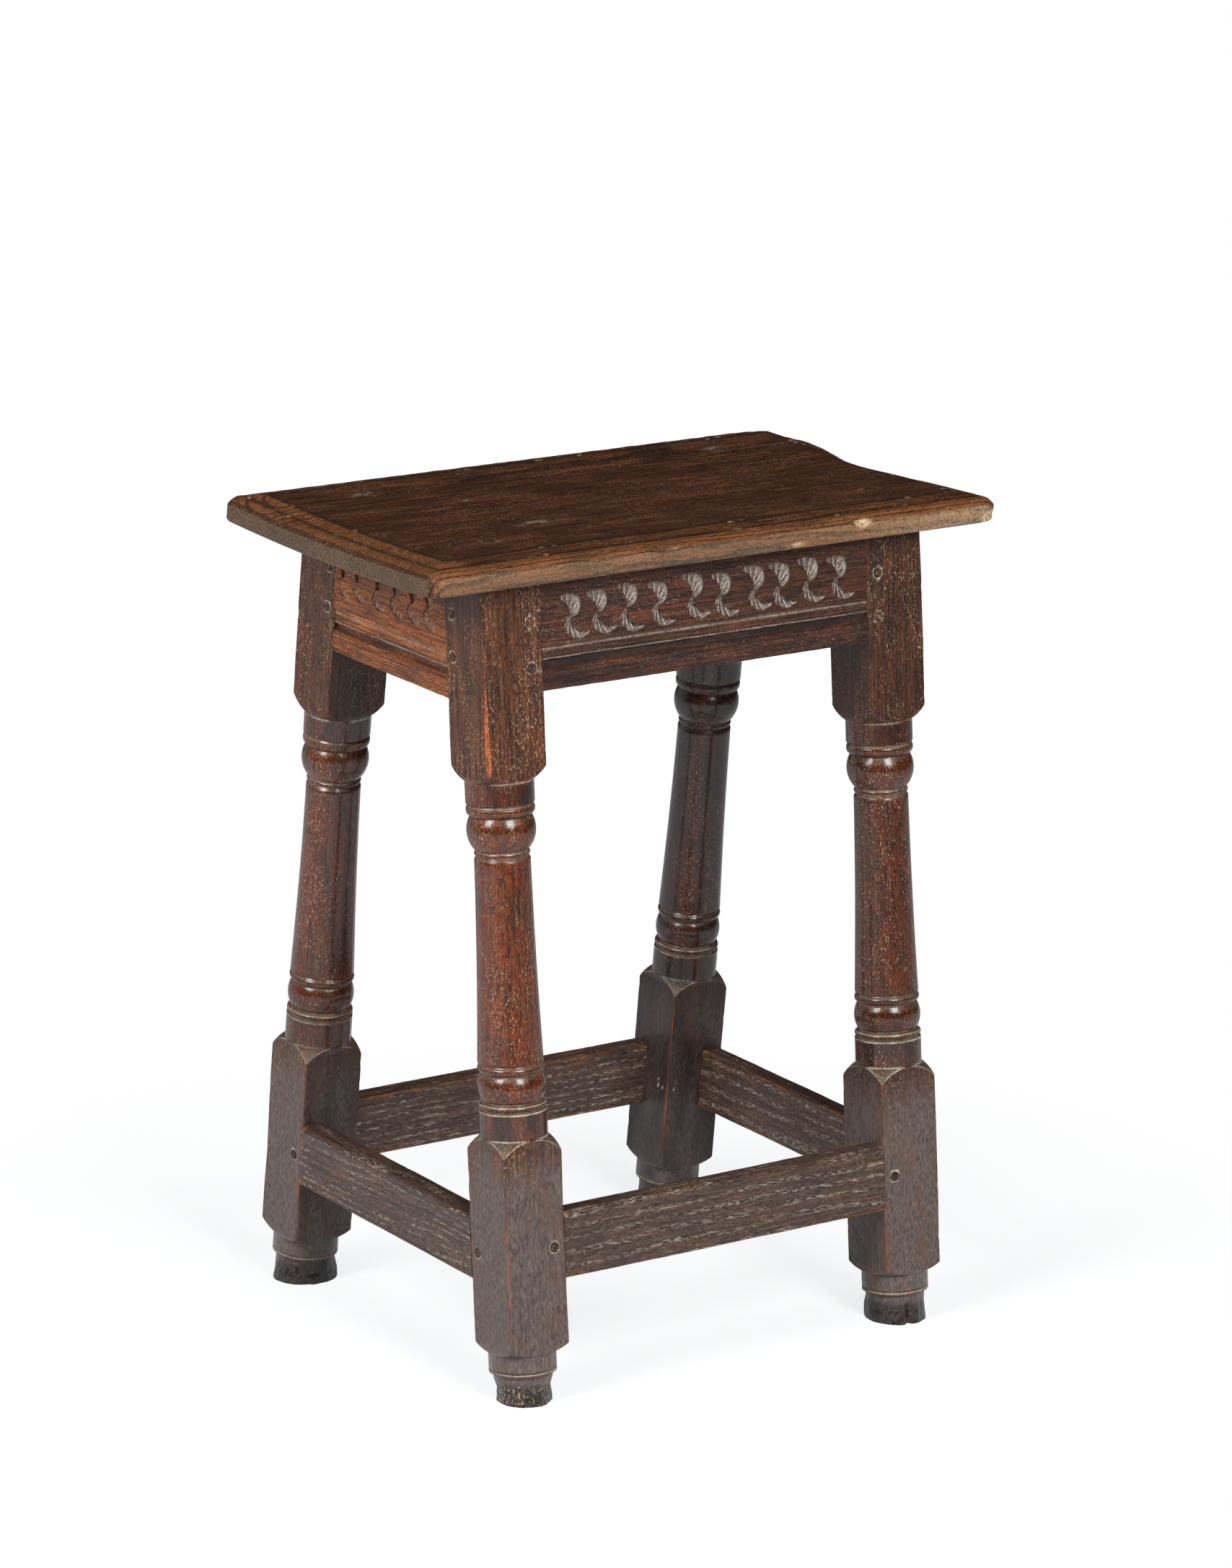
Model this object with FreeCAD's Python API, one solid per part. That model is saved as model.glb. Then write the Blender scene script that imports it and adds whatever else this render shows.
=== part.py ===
"""Oak joint stool: turned legs, carved friezes and low stretchers, pegged together under a moulded seat.

Millimetres, +Z up. The origin is on the floor under the middle of the stool. X runs along the long
side, and the front is towards -Y. The legs lean out towards the front and the back, and stand upright
when seen from the front.
"""
import FreeCAD, Part
import math
import os

# Overall sizes: the splay is how much further out a leg's axis is at the floor than under the seat
frame_height = 557.0
seat_length = 460.0
seat_depth = 268.0
seat_end_overhang = 52.0
seat_front_overhang = 22.8
leg_splay = 54.6

# Legs, with each member's length along the leg from the seat down
leg_side = 46.2
arris_wear = 1.4
upper_block_length = 126.0
shoulder_length = 10.5
shoulder_radius = 29.0
upper_neck_length = 15.5
upper_neck_radius = 23.0
collar_length = 5.0
collar_radius = 22.8
collar_slope_length = 2.2
throat_radius = 20.7
ball_length = 22.4
ball_swell_length = 10.0
ball_radius = 23.1
ball_foot_radius = 18.5
fillet_length = 2.1
fillet_radius = 18.4
column_top_radius = 18.8
column_middle_radius = 19.9
column_foot_radius = 22.1
astragal_length = 5.6
astragal_edge_radius = 21.2
astragal_radius = 22.3
ring_length = 17.3
ring_edge_radius = 20.9
ring_radius = 23.0
base_bead_length = 4.6
base_bead_edge_radius = 21.7
base_bead_radius = 22.9
lower_neck_length = 18.4
lower_neck_radius = 23.0
lower_block_length = 131.5
foot_length = 39.7
lower_shoulder_length = 5.5
ankle_length = 11.4
ankle_radius = 23.0
toe_bead_length = 1.4
toe_slope_length = 1.8
toe_throat_radius = 20.0
foot_end_radius = 21.6
quirk_width = 1.3
quirk_depth = 1.3

# Friezes: their carved scoops and the moulding run below them
long_frieze_height = 78.2
short_frieze_height = 84.7
frieze_thickness = 20.0
frieze_setback = 0.8
carving_centre_drop = 31.0
coin_radius = 12.5
coin_distance = 12.6
coin_rise = 1.2
upper_scoop_outline = ((-11.3, 13.6), (-2.0, 16.2), (6.5, 14.2), (9.2, 8.0), (0.3, -0.8))
lower_scoop_outline = ((-0.2, 0.6), (-5.0, -7.5), (0.0, -13.6), (7.5, -15.6), (16.0, -10.8))
upper_bowl_place = (2.5, 8.0)
lower_bowl_place = (8.0, -6.0)
scoop_bowl_radius = 14.0
scoop_depth = 3.2
short_carving_scale = 0.85
long_motif_shares = (-0.823, -0.66, -0.484, -0.292, -0.083, 0.093, 0.296, 0.453, 0.634, 0.819)
short_motif_shares = (-0.914, -0.649, -0.273, 0.059, 0.369, 0.656)
run_moulding_rise = 28.8
run_quirk_width = 0.7
run_quirk_depth = 1.2
run_bead_width = 6.4
run_bead_sink = 0.1
run_fillet_width = 1.2
run_fillet_sink = 0.4
run_step_width = 0.6
run_hollow_width = 6.6
run_hollow_depth = 2.6
run_hollow_belly_depth = 2.1

# Stretchers
stretcher_thickness = 17.0
long_stretcher_height = 45.5
short_stretcher_height = 43.5
front_stretcher_top = 128.5
back_stretcher_top = 123.5
side_stretcher_top = 123.0
stretcher_wear_radius = 3.0

# Joints
tenon_thickness = 8.0
tenon_setback = 6.5
tenon_length = 25.5
tenon_top_shoulder = 7.0
tenon_bottom_shoulder = 3.5
mortise_clearance = 0.1
mortise_end_clearance = 0.5
peg_diameter = 6.6
peg_length = 29.0
peg_proud = 0.5
peg_taper = 0.4
peg_point_length = 3.0
peg_point_diameter = 4.4
peg_shoulder_distance = 9.0
peg_clearance = 0.1
long_frieze_peg_drops = (31.5, 62.0)
short_frieze_peg_drops = (26.0, 54.0)

# Seat: an edge, a round nosing, an incised line, a sloping band, a second line, then the field
seat_thickness = 19.7
seat_edge_height = 10.0
seat_nosing_width = 11.0
seat_nosing_rise = 6.6
seat_nosing_fullness = 1.3
seat_band_width = 11.7
seat_line_width = 1.6
seat_line_depth = 0.9
seat_under_round = 1.5
seat_corner_radius = 12.0
seat_cup = 3.2
seat_peg_diameter = 8.0
seat_peg_depth = 19.0
seat_peg_shares = ((0.26, 0.52), (0.31, 0.58), (-0.45, -0.33), (0.34, -0.04))

# One overrun serves every cut
overrun = 6.0
peg_side_count = 8
quarter_turn = 90.0

vector = FreeCAD.Vector
x_direction = vector(1, 0, 0)
y_direction = vector(0, 1, 0)
z_direction = vector(0, 0, 1)
origin = vector(0, 0, 0)

half_leg = leg_side / 2
block_radius = leg_side / math.sqrt(2) - arris_wear
leg_lean = math.atan2(leg_splay, frame_height)
leg_length = frame_height / math.cos(leg_lean)
frame_half_x = seat_length / 2 - seat_end_overhang
leg_axis_x = frame_half_x - half_leg
inner_half_x = leg_axis_x - half_leg
frame_half_y = seat_depth / 2 - seat_front_overhang
leg_axis_y_top = frame_half_y - half_leg / math.cos(leg_lean)
cup_radius = (seat_depth / 2) ** 2 / (2 * seat_cup)
seat_under_middle = frame_height - frame_half_y ** 2 / (2 * cup_radius)
cup_axis = vector(0, 0, seat_under_middle + cup_radius)


def box(low, high):
    """Box between two opposite corners."""
    size = high.sub(low)
    return Part.makeBox(size.x, size.y, size.z, low)


def mirrored_x(shape):
    """Copy on the other side of the plane x = 0."""
    return shape.mirror(origin, x_direction)


class Outline:
    """Profile drawn step by step in the (x, z) plane: lines and three-point arcs."""

    def __init__(self, x, z):
        self.start = vector(x, 0, z)
        self.point = self.start
        self.edges = []

    def line(self, x, z):
        end = vector(x, 0, z)
        self.edges.append(Part.LineSegment(self.point, end).toShape())
        self.point = end

    def arc(self, middle_x, middle_z, x, z):
        end = vector(x, 0, z)
        self.edges.append(Part.Arc(self.point, vector(middle_x, 0, middle_z), end).toShape())
        self.point = end

    def face(self):
        self.line(self.start.x, self.start.z)
        return Part.Face(Part.Wire(self.edges))


class Turning(Outline):
    """Half profile of a turned leg: x is the radius, and z falls by each member's length."""

    def straight(self, length, radius):
        self.line(radius, self.point.z - length)

    def swell(self, length, middle_radius, end_radius, middle_length):
        top = self.point.z
        self.arc(middle_radius, top - middle_length, end_radius, top - length)

    def even_swell(self, length, middle_radius, end_radius):
        self.swell(length, middle_radius, end_radius, length / 2)

    def quirk(self, next_radius):
        """Narrow V groove, then out to the next member's radius."""
        self.straight(quirk_width / 2, min(self.point.x, next_radius) - quirk_depth)
        self.straight(quirk_width / 2, next_radius)


def turned_profile():
    """The leg's turning, from above the seat's underside to below the floor.

    The blocks keep their places from the seat and from the floor, and the column takes up the rest.
    """
    turning = Turning(0, overrun)
    turning.line(block_radius, overrun)
    turning.line(block_radius, -upper_block_length)
    turning.even_swell(shoulder_length, shoulder_radius, upper_neck_radius)
    turning.straight(upper_neck_length, upper_neck_radius)
    turning.quirk(collar_radius)
    turning.straight(collar_length, collar_radius)
    turning.straight(collar_slope_length, throat_radius)
    turning.swell(ball_length, ball_radius, ball_foot_radius, ball_swell_length)
    turning.straight(fillet_length, fillet_radius)
    turning.quirk(fillet_radius)
    turning.straight(fillet_length, fillet_radius)
    turning.quirk(column_top_radius)
    turning.even_swell(turning.point.z - column_foot_place(), column_middle_radius, column_foot_radius)
    turning.quirk(astragal_edge_radius)
    turning.even_swell(astragal_length, astragal_radius, astragal_edge_radius)
    turning.quirk(ring_edge_radius)
    turning.even_swell(ring_length, ring_radius, ring_edge_radius)
    turning.quirk(base_bead_edge_radius)
    turning.even_swell(base_bead_length, base_bead_radius, base_bead_edge_radius)
    turning.quirk(lower_neck_radius)
    turning.straight(lower_neck_length, lower_neck_radius)
    turning.even_swell(shoulder_length, shoulder_radius, block_radius)
    turning.straight(lower_block_length, block_radius)
    turning.even_swell(lower_shoulder_length, shoulder_radius, ankle_radius)
    turning.straight(ankle_length, ankle_radius)
    turning.quirk(ankle_radius)
    turning.straight(toe_bead_length, ankle_radius)
    turning.straight(toe_slope_length, toe_throat_radius)
    turning.line(foot_end_radius, -leg_length)
    turning.line(foot_end_radius, -leg_length - overrun)
    turning.line(0, -leg_length - overrun)
    return turning.face()


def column_foot_place():
    """Place of the column's lower end along the leg, as the members below it leave it."""
    beads = astragal_length + ring_length + base_bead_length + 4 * quirk_width
    below = beads + lower_neck_length + shoulder_length + lower_block_length + foot_length
    return below - leg_length


def leg_axis_y(z):
    """Distance from the middle plane to a leg's axis, at a height."""
    return leg_axis_y_top + leg_splay * (frame_height - z) / frame_height


def leg_inner_y(z):
    """Distance from the middle plane to a leg's inner face, at a height."""
    return leg_axis_y(z) - half_leg / math.cos(leg_lean)


def straight_inner_x(z):
    """Distance from the middle to a leg's inner face along X: the same at every height."""
    return inner_half_x


def along_leg(z):
    """Distance along a leg's axis from the seat's underside down to a height."""
    return (frame_height - z) / math.cos(leg_lean)


def in_front_wing(shape):
    """Move a shape from the front wing's upright frame to its place.

    A wing is two legs with their long frieze and long stretcher. Its own frame has the legs' axes in
    the plane y = 0 and the seat's underside at z = 0.
    """
    leaning = shape.rotated(origin, x_direction, -math.degrees(leg_lean))
    return leaning.translated(vector(0, -leg_axis_y_top, frame_height))


def cut_level(shape):
    """Cut level with the seat's underside and with the floor."""
    reach = seat_length + seat_depth
    return shape.common(box(vector(-reach, -reach, 0), vector(reach, reach, frame_height)))


def span_block(half_span, top, bottom, extra, face, thickness):
    """Block between two legs, with ends that follow them, seen with its outer face towards -y.

    half_span gives half the distance between the legs at a height, and extra runs past it.
    """
    corners = [vector(side * (half_span(z) + extra), face, z)
               for side, z in ((-1, bottom), (1, bottom), (1, top), (-1, top), (-1, bottom))]
    return Part.Face(Part.makePolygon(corners)).extrude(y_direction * thickness)


def tenon_block(half_span, top, bottom, face, end_gap, clearance):
    """Bar through both ends of a rail that makes its tenons, or its mortises with the clearances."""
    upper = top - tenon_top_shoulder + clearance
    lower = bottom + tenon_bottom_shoulder - clearance
    return span_block(half_span, upper, lower, tenon_length + end_gap, face + tenon_setback - clearance,
                      tenon_thickness + 2 * clearance)


def mortise_block(half_span, top, bottom, face):
    """The room that a rail's tenons need in its legs."""
    return tenon_block(half_span, top, bottom, face, mortise_end_clearance, mortise_clearance)


def rail(section, half_span, top, bottom, face, thickness):
    """Rail drawn out along x from its section, shouldered to the legs and tenoned."""
    reach = half_span(bottom) + half_span(top)
    bar = section.extrude(x_direction * (2 * reach)).translated(vector(-reach, face, top))
    body = bar.common(span_block(half_span, top, bottom, 0, face, thickness))
    return body.fuse(tenon_block(half_span, top, bottom, face, 0, 0)).removeSplitter()


def depth_outline(outline):
    """Turn a section drawn with its depth along x, so that its depth runs along +y."""
    return outline.face().rotated(origin, z_direction, quarter_turn)


def frieze_section(height):
    """Frieze's section below its top: carved ground, quirk, bead, fillet, hollow and plain band."""
    outline = Outline(0, 0)
    drop = height - run_moulding_rise
    outline.line(0, -drop)
    drop += run_quirk_width
    outline.line(run_quirk_depth, -drop)
    outline.arc(run_bead_sink, -drop - run_bead_width / 2, run_quirk_depth, -drop - run_bead_width)
    drop += run_bead_width
    outline.line(run_fillet_sink, -drop)
    outline.line(run_fillet_sink, -drop - run_fillet_width)
    drop += run_fillet_width + run_step_width
    outline.line(run_hollow_depth, -drop)
    outline.arc(run_hollow_belly_depth, -drop - run_hollow_width / 2, 0, -drop - run_hollow_width)
    outline.line(0, -height)
    outline.line(frieze_thickness, -height)
    outline.line(frieze_thickness, 0)
    return depth_outline(outline)


def stretcher_section(height):
    """Stretcher's section below its top, with the outer arris worn round by feet."""
    outline = Outline(stretcher_wear_radius, 0)
    inset = stretcher_wear_radius * (1 - math.sqrt(0.5))
    outline.arc(inset, -inset, 0, -stretcher_wear_radius)
    outline.line(0, -height)
    outline.line(stretcher_thickness, -height)
    outline.line(stretcher_thickness, 0)
    return depth_outline(outline)


def scoop(outline, bowl_place, coin_x, scale):
    """Cutter for one gouged scoop beside a coin of uncut ground, in the plane z = 0 with the face up.

    The outline is two arcs from tip to tip, closed by the coin's edge. The floor is part of a ball
    whose lowest point lies near the right end. So the scoop rises gently to the left and ends at a
    wall on the right.
    """
    low_end = origin - z_direction * overrun
    points = [vector(x, y, 0) * scale + low_end for x, y in outline]
    edges = [Part.Arc(*points[:3]).toShape(), Part.Arc(*points[2:]).toShape(),
             Part.makeLine(points[4], points[0])]
    crescent = Part.Face(Part.Wire(edges)).extrude(z_direction * (2 * overrun))
    coin_end = vector(coin_x, coin_rise, 0) * scale + low_end
    crescent = crescent.cut(Part.makeCylinder(coin_radius * scale, 2 * overrun, coin_end))
    bowl = scoop_bowl_radius * scale
    ball_radius_needed = (bowl ** 2 + scoop_depth ** 2) / (2 * scoop_depth)
    lowest = vector(*bowl_place, 0) * scale
    ball = Part.makeSphere(ball_radius_needed, lowest + z_direction * (ball_radius_needed - scoop_depth))
    return crescent.common(ball)


def motif(scale):
    """Both scoops of one S, about the place where they meet, stood up to look towards -y."""
    upper = scoop(upper_scoop_outline, upper_bowl_place, -coin_distance, scale)
    lower = scoop(lower_scoop_outline, lower_bowl_place, coin_distance, scale)
    return upper.fuse(lower).rotated(origin, x_direction, quarter_turn)


def carved(frieze, half_length, shares, scale, face, top):
    """Frieze with its row of S motifs, placed by eye as the carver did."""
    one = motif(scale)
    centre = top - carving_centre_drop
    return frieze.cut([one.translated(vector(share * half_length, face, centre)) for share in shares])


def peg_section(diameter, x):
    """Eight-sided outline across a peg at a place along it."""
    points = []
    for index in range(peg_side_count + 1):
        angle = 2 * math.pi * (index + 0.5) / peg_side_count
        points.append(vector(x, math.cos(angle) * diameter / 2, math.sin(angle) * diameter / 2))
    return Part.makePolygon(points)


def peg(diameter, length):
    """Riven peg along +x: eight-sided, slightly tapered and pointed, a little proud of the face."""
    head = peg_section(diameter, -peg_proud)
    neck = peg_section(diameter - peg_taper, length - peg_point_length)
    point = peg_section(peg_point_diameter, length)
    return Part.makeLoft([head, neck], True, True).fuse(Part.makeLoft([neck, point], True, True))


def peg_hole(diameter, length):
    """Bored hole for a peg, along +x from outside the face."""
    radius = diameter / 2 + peg_clearance
    return Part.makeCylinder(radius, overrun + length + peg_clearance, x_direction * -overrun, x_direction)


def run_in_front(shape, drops):
    """Copies of a peg or hole that run in from the wing's front face, in both legs."""
    turned = shape.rotated(origin, z_direction, quarter_turn)
    across = inner_half_x + peg_shoulder_distance
    return [turned.translated(vector(end * across, -half_leg, -drop)) for end in (-1, 1) for drop in drops]


def run_in_left(shape, drops):
    """Copies of a peg or hole that run in from the left face of the wing's left leg."""
    across = half_leg - peg_shoulder_distance
    return [shape.translated(vector(-frame_half_x, across, -drop)) for drop in drops]


def long_stretcher_span(top):
    """A long stretcher's top and bottom in the wing's frame, from its top's height."""
    wing_top = -along_leg(top)
    return wing_top, wing_top - long_stretcher_height


def frieze_pegs_and_holes(shape):
    """A frieze joint's pegs or holes, in the wing's frame: front ones, then left ones."""
    return run_in_front(shape, long_frieze_peg_drops), run_in_left(shape, short_frieze_peg_drops)


def stretcher_pegs_and_holes(shape, top):
    """A stretcher joint's pegs or holes, in the wing's frame: front ones, then left ones."""
    front_drop = along_leg(top) + long_stretcher_height / 2
    left_drop = along_leg(side_stretcher_top - short_stretcher_height / 2)
    return run_in_front(shape, (front_drop,)), run_in_left(shape, (left_drop,))


def wing_leg(turned, stretcher_top):
    """Left leg of a wing in the wing's frame, mortised and bored for the long rails and all pegs."""
    bar = box(vector(-half_leg, -half_leg, turned.BoundBox.ZMin), vector(half_leg, half_leg, overrun))
    leg = bar.common(turned).translated(x_direction * -leg_axis_x)
    top, bottom = long_stretcher_span(stretcher_top)
    frieze_face = -half_leg + frieze_setback
    cuts = [mortise_block(straight_inner_x, 0, -long_frieze_height, frieze_face),
            mortise_block(straight_inner_x, top, bottom, -half_leg)]
    hole = peg_hole(peg_diameter, peg_length)
    for group in frieze_pegs_and_holes(hole) + stretcher_pegs_and_holes(hole, stretcher_top):
        cuts += group
    return leg.cut(cuts)


def long_frieze():
    """Carved long frieze in the wing's frame."""
    face = -half_leg + frieze_setback
    plain = rail(frieze_section(long_frieze_height), straight_inner_x, 0, -long_frieze_height, face,
                 frieze_thickness)
    frieze = carved(plain, inner_half_x, long_motif_shares, 1, face, 0)
    return frieze.cut(frieze_pegs_and_holes(peg_hole(peg_diameter, peg_length))[0])


def long_stretcher(stretcher_top):
    """Long stretcher in the wing's frame."""
    top, bottom = long_stretcher_span(stretcher_top)
    plain = rail(stretcher_section(long_stretcher_height), straight_inner_x, top, bottom, -half_leg,
                 stretcher_thickness)
    return plain.cut(stretcher_pegs_and_holes(peg_hole(peg_diameter, peg_length), stretcher_top)[0])


def at_left(shape, face_x):
    """Turn a rail that looks to -y so that it looks to -X, with its face at face_x."""
    return shape.rotated(origin, z_direction, -quarter_turn).translated(x_direction * face_x)


def left_holes(groups):
    """Holes of both left legs' left faces, in place."""
    front = [in_front_wing(hole) for hole in groups[1]]
    return front + [hole.mirror(origin, y_direction) for hole in front]


def short_frieze():
    """Carved short frieze in place at the left."""
    bottom = frame_height - short_frieze_height
    plain = rail(frieze_section(short_frieze_height), leg_inner_y, frame_height, bottom, 0, frieze_thickness)
    half_length = leg_inner_y(frame_height - carving_centre_drop)
    frieze = carved(plain, half_length, short_motif_shares, short_carving_scale, 0, frame_height)
    placed = at_left(frieze, -frame_half_x + frieze_setback)
    return placed.cut(left_holes(frieze_pegs_and_holes(peg_hole(peg_diameter, peg_length))))


def short_stretcher():
    """Short stretcher in place at the left."""
    bottom = side_stretcher_top - short_stretcher_height
    plain = rail(stretcher_section(short_stretcher_height), leg_inner_y, side_stretcher_top, bottom, 0,
                 stretcher_thickness)
    placed = at_left(plain, -frame_half_x)
    hole = peg_hole(peg_diameter, peg_length)
    return placed.cut(left_holes(stretcher_pegs_and_holes(hole, side_stretcher_top)))


def short_mortises():
    """The room that the left short rails' tenons need, in place."""
    frieze = mortise_block(leg_inner_y, frame_height, frame_height - short_frieze_height, 0)
    bottom = side_stretcher_top - short_stretcher_height
    stretcher = mortise_block(leg_inner_y, side_stretcher_top, bottom, 0)
    return [at_left(frieze, -frame_half_x + frieze_setback), at_left(stretcher, -frame_half_x)]


def seat_edge_face():
    """What is planed away outside the seat's edge: the edge is at x = 0 and the underside at z = 0."""
    outline = Outline(-seat_under_round, -overrun)
    outline.line(-seat_under_round, 0)
    outline.line(0, seat_under_round)
    outline.line(0, seat_edge_height)
    nosing_top = seat_edge_height + seat_nosing_rise
    outline.arc(-seat_nosing_width / 2 + seat_nosing_fullness,
                seat_edge_height + seat_nosing_rise / 2 + seat_nosing_fullness,
                -seat_nosing_width, nosing_top)
    outline.line(-seat_nosing_width - seat_line_width / 2, nosing_top - seat_line_depth)
    outline.line(-seat_nosing_width - seat_line_width, nosing_top)
    inner = -seat_nosing_width - seat_band_width
    outline.line(inner + seat_line_width, seat_thickness)
    outline.line(inner + seat_line_width / 2, seat_thickness - seat_line_depth)
    outline.line(inner, seat_thickness)
    outline.line(inner, seat_thickness + overrun)
    outline.line(overrun, seat_thickness + overrun)
    outline.line(overrun, -overrun)
    return outline.face()


def seat_section(half_length):
    """Section of the unmoulded board along X, in the middle plane."""
    top = seat_under_middle + seat_thickness
    outline = Outline(-half_length, seat_under_middle)
    outline.line(half_length, seat_under_middle)
    outline.line(half_length, top)
    outline.line(-half_length, top)
    return outline.face()


def cupped(face, half_angle):
    """Sweep a section about the cup's axis, to both sides of the middle plane."""
    started = face.rotated(cup_axis, x_direction, -half_angle)
    return started.revolve(cup_axis, x_direction, 2 * half_angle)


def seat_top(y):
    """Height of the seat's field at a distance from the middle plane."""
    return seat_under_middle + seat_thickness + y ** 2 / (2 * cup_radius)


def seat_peg_places():
    """Pegs through the seat into the legs' tops, each placed by eye from its leg's axis."""
    places = []
    leg_tops = ((-1, -1), (1, -1), (1, 1), (-1, 1))
    for (end, side), (share_x, share_y) in zip(leg_tops, seat_peg_shares):
        x = end * leg_axis_x + share_x * half_leg
        y = side * leg_axis_y_top + share_y * half_leg
        places.append(vector(x, y, 0))
    return places


def seat_board():
    """One board, slightly cupped: moulded round all four edges, flat where it bears on the frame."""
    half_length = seat_length / 2
    half_depth = seat_depth / 2
    edge_angle = math.degrees(math.asin(half_depth / cup_radius))
    spread = math.degrees(math.asin((half_depth + overrun) / cup_radius))
    slab = cupped(seat_section(half_length + overrun / 2), spread)
    planed = seat_edge_face().translated(z_direction * seat_under_middle)
    end = cupped(planed.translated(x_direction * half_length), spread)
    reach = half_length + overrun
    long_edge = planed.rotated(origin, z_direction, quarter_turn).extrude(x_direction * 2 * reach)
    long_edge = long_edge.translated(x_direction * -reach).rotated(cup_axis, x_direction, edge_angle)
    board = slab.cut([end, mirrored_x(end), long_edge, long_edge.mirror(origin, y_direction)])
    board = board.common(rounded_plan(half_length, half_depth))
    flat = box(vector(-frame_half_x, -frame_half_y, seat_under_middle - overrun),
               vector(frame_half_x, frame_half_y, frame_height))
    return board.cut([flat] + seat_peg_holes())


def rounded_plan(half_length, half_depth):
    """Upright block with the seat's plan, its corners worn round."""
    low = seat_under_middle - overrun
    high = frame_height + seat_thickness + overrun
    block = box(vector(-half_length, -half_depth, low), vector(half_length, half_depth, high))
    upright = [edge for edge in block.Edges if abs(edge.tangentAt(edge.FirstParameter).z) > 0.5]
    return block.makeFillet(seat_corner_radius, upright)


def set_in_seat(shape):
    """Copies of a peg or hole, turned to run down from the seat's top at each peg's place."""
    upright = shape.rotated(origin, y_direction, quarter_turn)
    return [upright.translated(place + z_direction * seat_top(place.y)) for place in seat_peg_places()]


def seat_peg_holes():
    """Upright holes through the board and into the frame."""
    return set_in_seat(peg_hole(seat_peg_diameter, seat_thickness + seat_peg_depth))


def seat_pegs():
    """The pegs in those holes."""
    return set_in_seat(peg(seat_peg_diameter, seat_thickness + seat_peg_depth))


def grouped(shapes):
    """Several separate solids as one node."""
    return Part.makeCompound([solid for shape in shapes for solid in shape.Solids])


def build_wing(pieces, turned, name, sides, stretcher_top, half_turn):
    """Two legs, their long rails and their pegs: the back wing is the front one turned about."""
    def placed(shape):
        return shape.rotated(origin, z_direction, half_turn)

    bored = seat_peg_holes()
    leg = cut_level(in_front_wing(wing_leg(turned, stretcher_top))).cut(short_mortises())
    pieces["leg_" + name + "_" + sides[0]] = placed(leg).cut(bored)
    pieces["leg_" + name + "_" + sides[1]] = placed(mirrored_x(leg)).cut(bored)
    pieces["frieze_" + name] = placed(cut_level(in_front_wing(long_frieze()))).cut(bored)
    pieces["stretcher_" + name] = placed(in_front_wing(long_stretcher(stretcher_top)))
    one = peg(peg_diameter, peg_length)
    frieze_group = frieze_pegs_and_holes(one)[0]
    stretcher_group = stretcher_pegs_and_holes(one, stretcher_top)[0]
    pieces["pegs_frieze_" + name] = grouped([placed(in_front_wing(shape)) for shape in frieze_group])
    pieces["pegs_stretcher_" + name] = grouped([placed(in_front_wing(shape)) for shape in stretcher_group])


def build_side(pieces, name, half_turn):
    """Short rails and their pegs: the right side is the left one turned about."""
    def placed(shape):
        return shape.rotated(origin, z_direction, half_turn)

    one = peg(peg_diameter, peg_length)
    pieces["frieze_" + name] = placed(short_frieze()).cut(seat_peg_holes())
    pieces["stretcher_" + name] = placed(short_stretcher())
    frieze_group = left_holes(frieze_pegs_and_holes(one))
    stretcher_group = left_holes(stretcher_pegs_and_holes(one, side_stretcher_top))
    pieces["pegs_frieze_" + name] = grouped([placed(shape) for shape in frieze_group])
    pieces["pegs_stretcher_" + name] = grouped([placed(shape) for shape in stretcher_group])


def build():
    """Make every piece and write it to its own file."""
    os.makedirs("parts", exist_ok=True)
    turned = turned_profile().revolve(origin, z_direction, 4 * quarter_turn)
    pieces = {"seat_board": seat_board(), "pegs_seat": grouped(seat_pegs())}
    build_wing(pieces, turned, "front", ("left", "right"), front_stretcher_top, 0)
    build_wing(pieces, turned, "back", ("right", "left"), back_stretcher_top, 2 * quarter_turn)
    build_side(pieces, "left", 0)
    build_side(pieces, "right", 2 * quarter_turn)
    for name, shape in pieces.items():
        shape.exportStep(os.path.join("parts", name + ".step"))
        print(name, len(shape.Solids), shape.isValid(), round(shape.Volume))


build()
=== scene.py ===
"""Visual model of an old oak joint stool: turned and pegged legs, gouge-carved friezes, a moulded seat."""
import math
import random
from functools import partial

import bpy
import numpy as np
from bpy.props import FloatProperty, FloatVectorProperty, IntProperty, PointerProperty
from mathutils import Matrix, Vector, noise


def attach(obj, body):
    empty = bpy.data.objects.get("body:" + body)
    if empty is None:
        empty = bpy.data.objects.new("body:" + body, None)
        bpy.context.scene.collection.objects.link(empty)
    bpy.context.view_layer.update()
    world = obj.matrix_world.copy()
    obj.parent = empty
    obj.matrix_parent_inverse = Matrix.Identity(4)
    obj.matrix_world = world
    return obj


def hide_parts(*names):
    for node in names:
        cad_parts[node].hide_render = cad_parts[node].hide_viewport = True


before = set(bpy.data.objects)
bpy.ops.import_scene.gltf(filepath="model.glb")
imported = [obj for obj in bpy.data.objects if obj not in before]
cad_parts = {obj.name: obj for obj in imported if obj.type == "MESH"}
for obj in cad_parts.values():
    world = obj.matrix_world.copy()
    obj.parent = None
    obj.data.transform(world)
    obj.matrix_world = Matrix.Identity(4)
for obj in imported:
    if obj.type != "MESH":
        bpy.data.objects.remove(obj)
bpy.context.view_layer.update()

bl_info = {
    "name": "Joint Stool",
    "version": (1, 0, 0),
    "blender": (4, 5, 0),
    "location": "3D View > Sidebar > Stool",
    "description": "Models an old oak joint stool piece by piece and sets a plain studio round it",
    "category": "Add Mesh",
}

MM = 0.001

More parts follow.
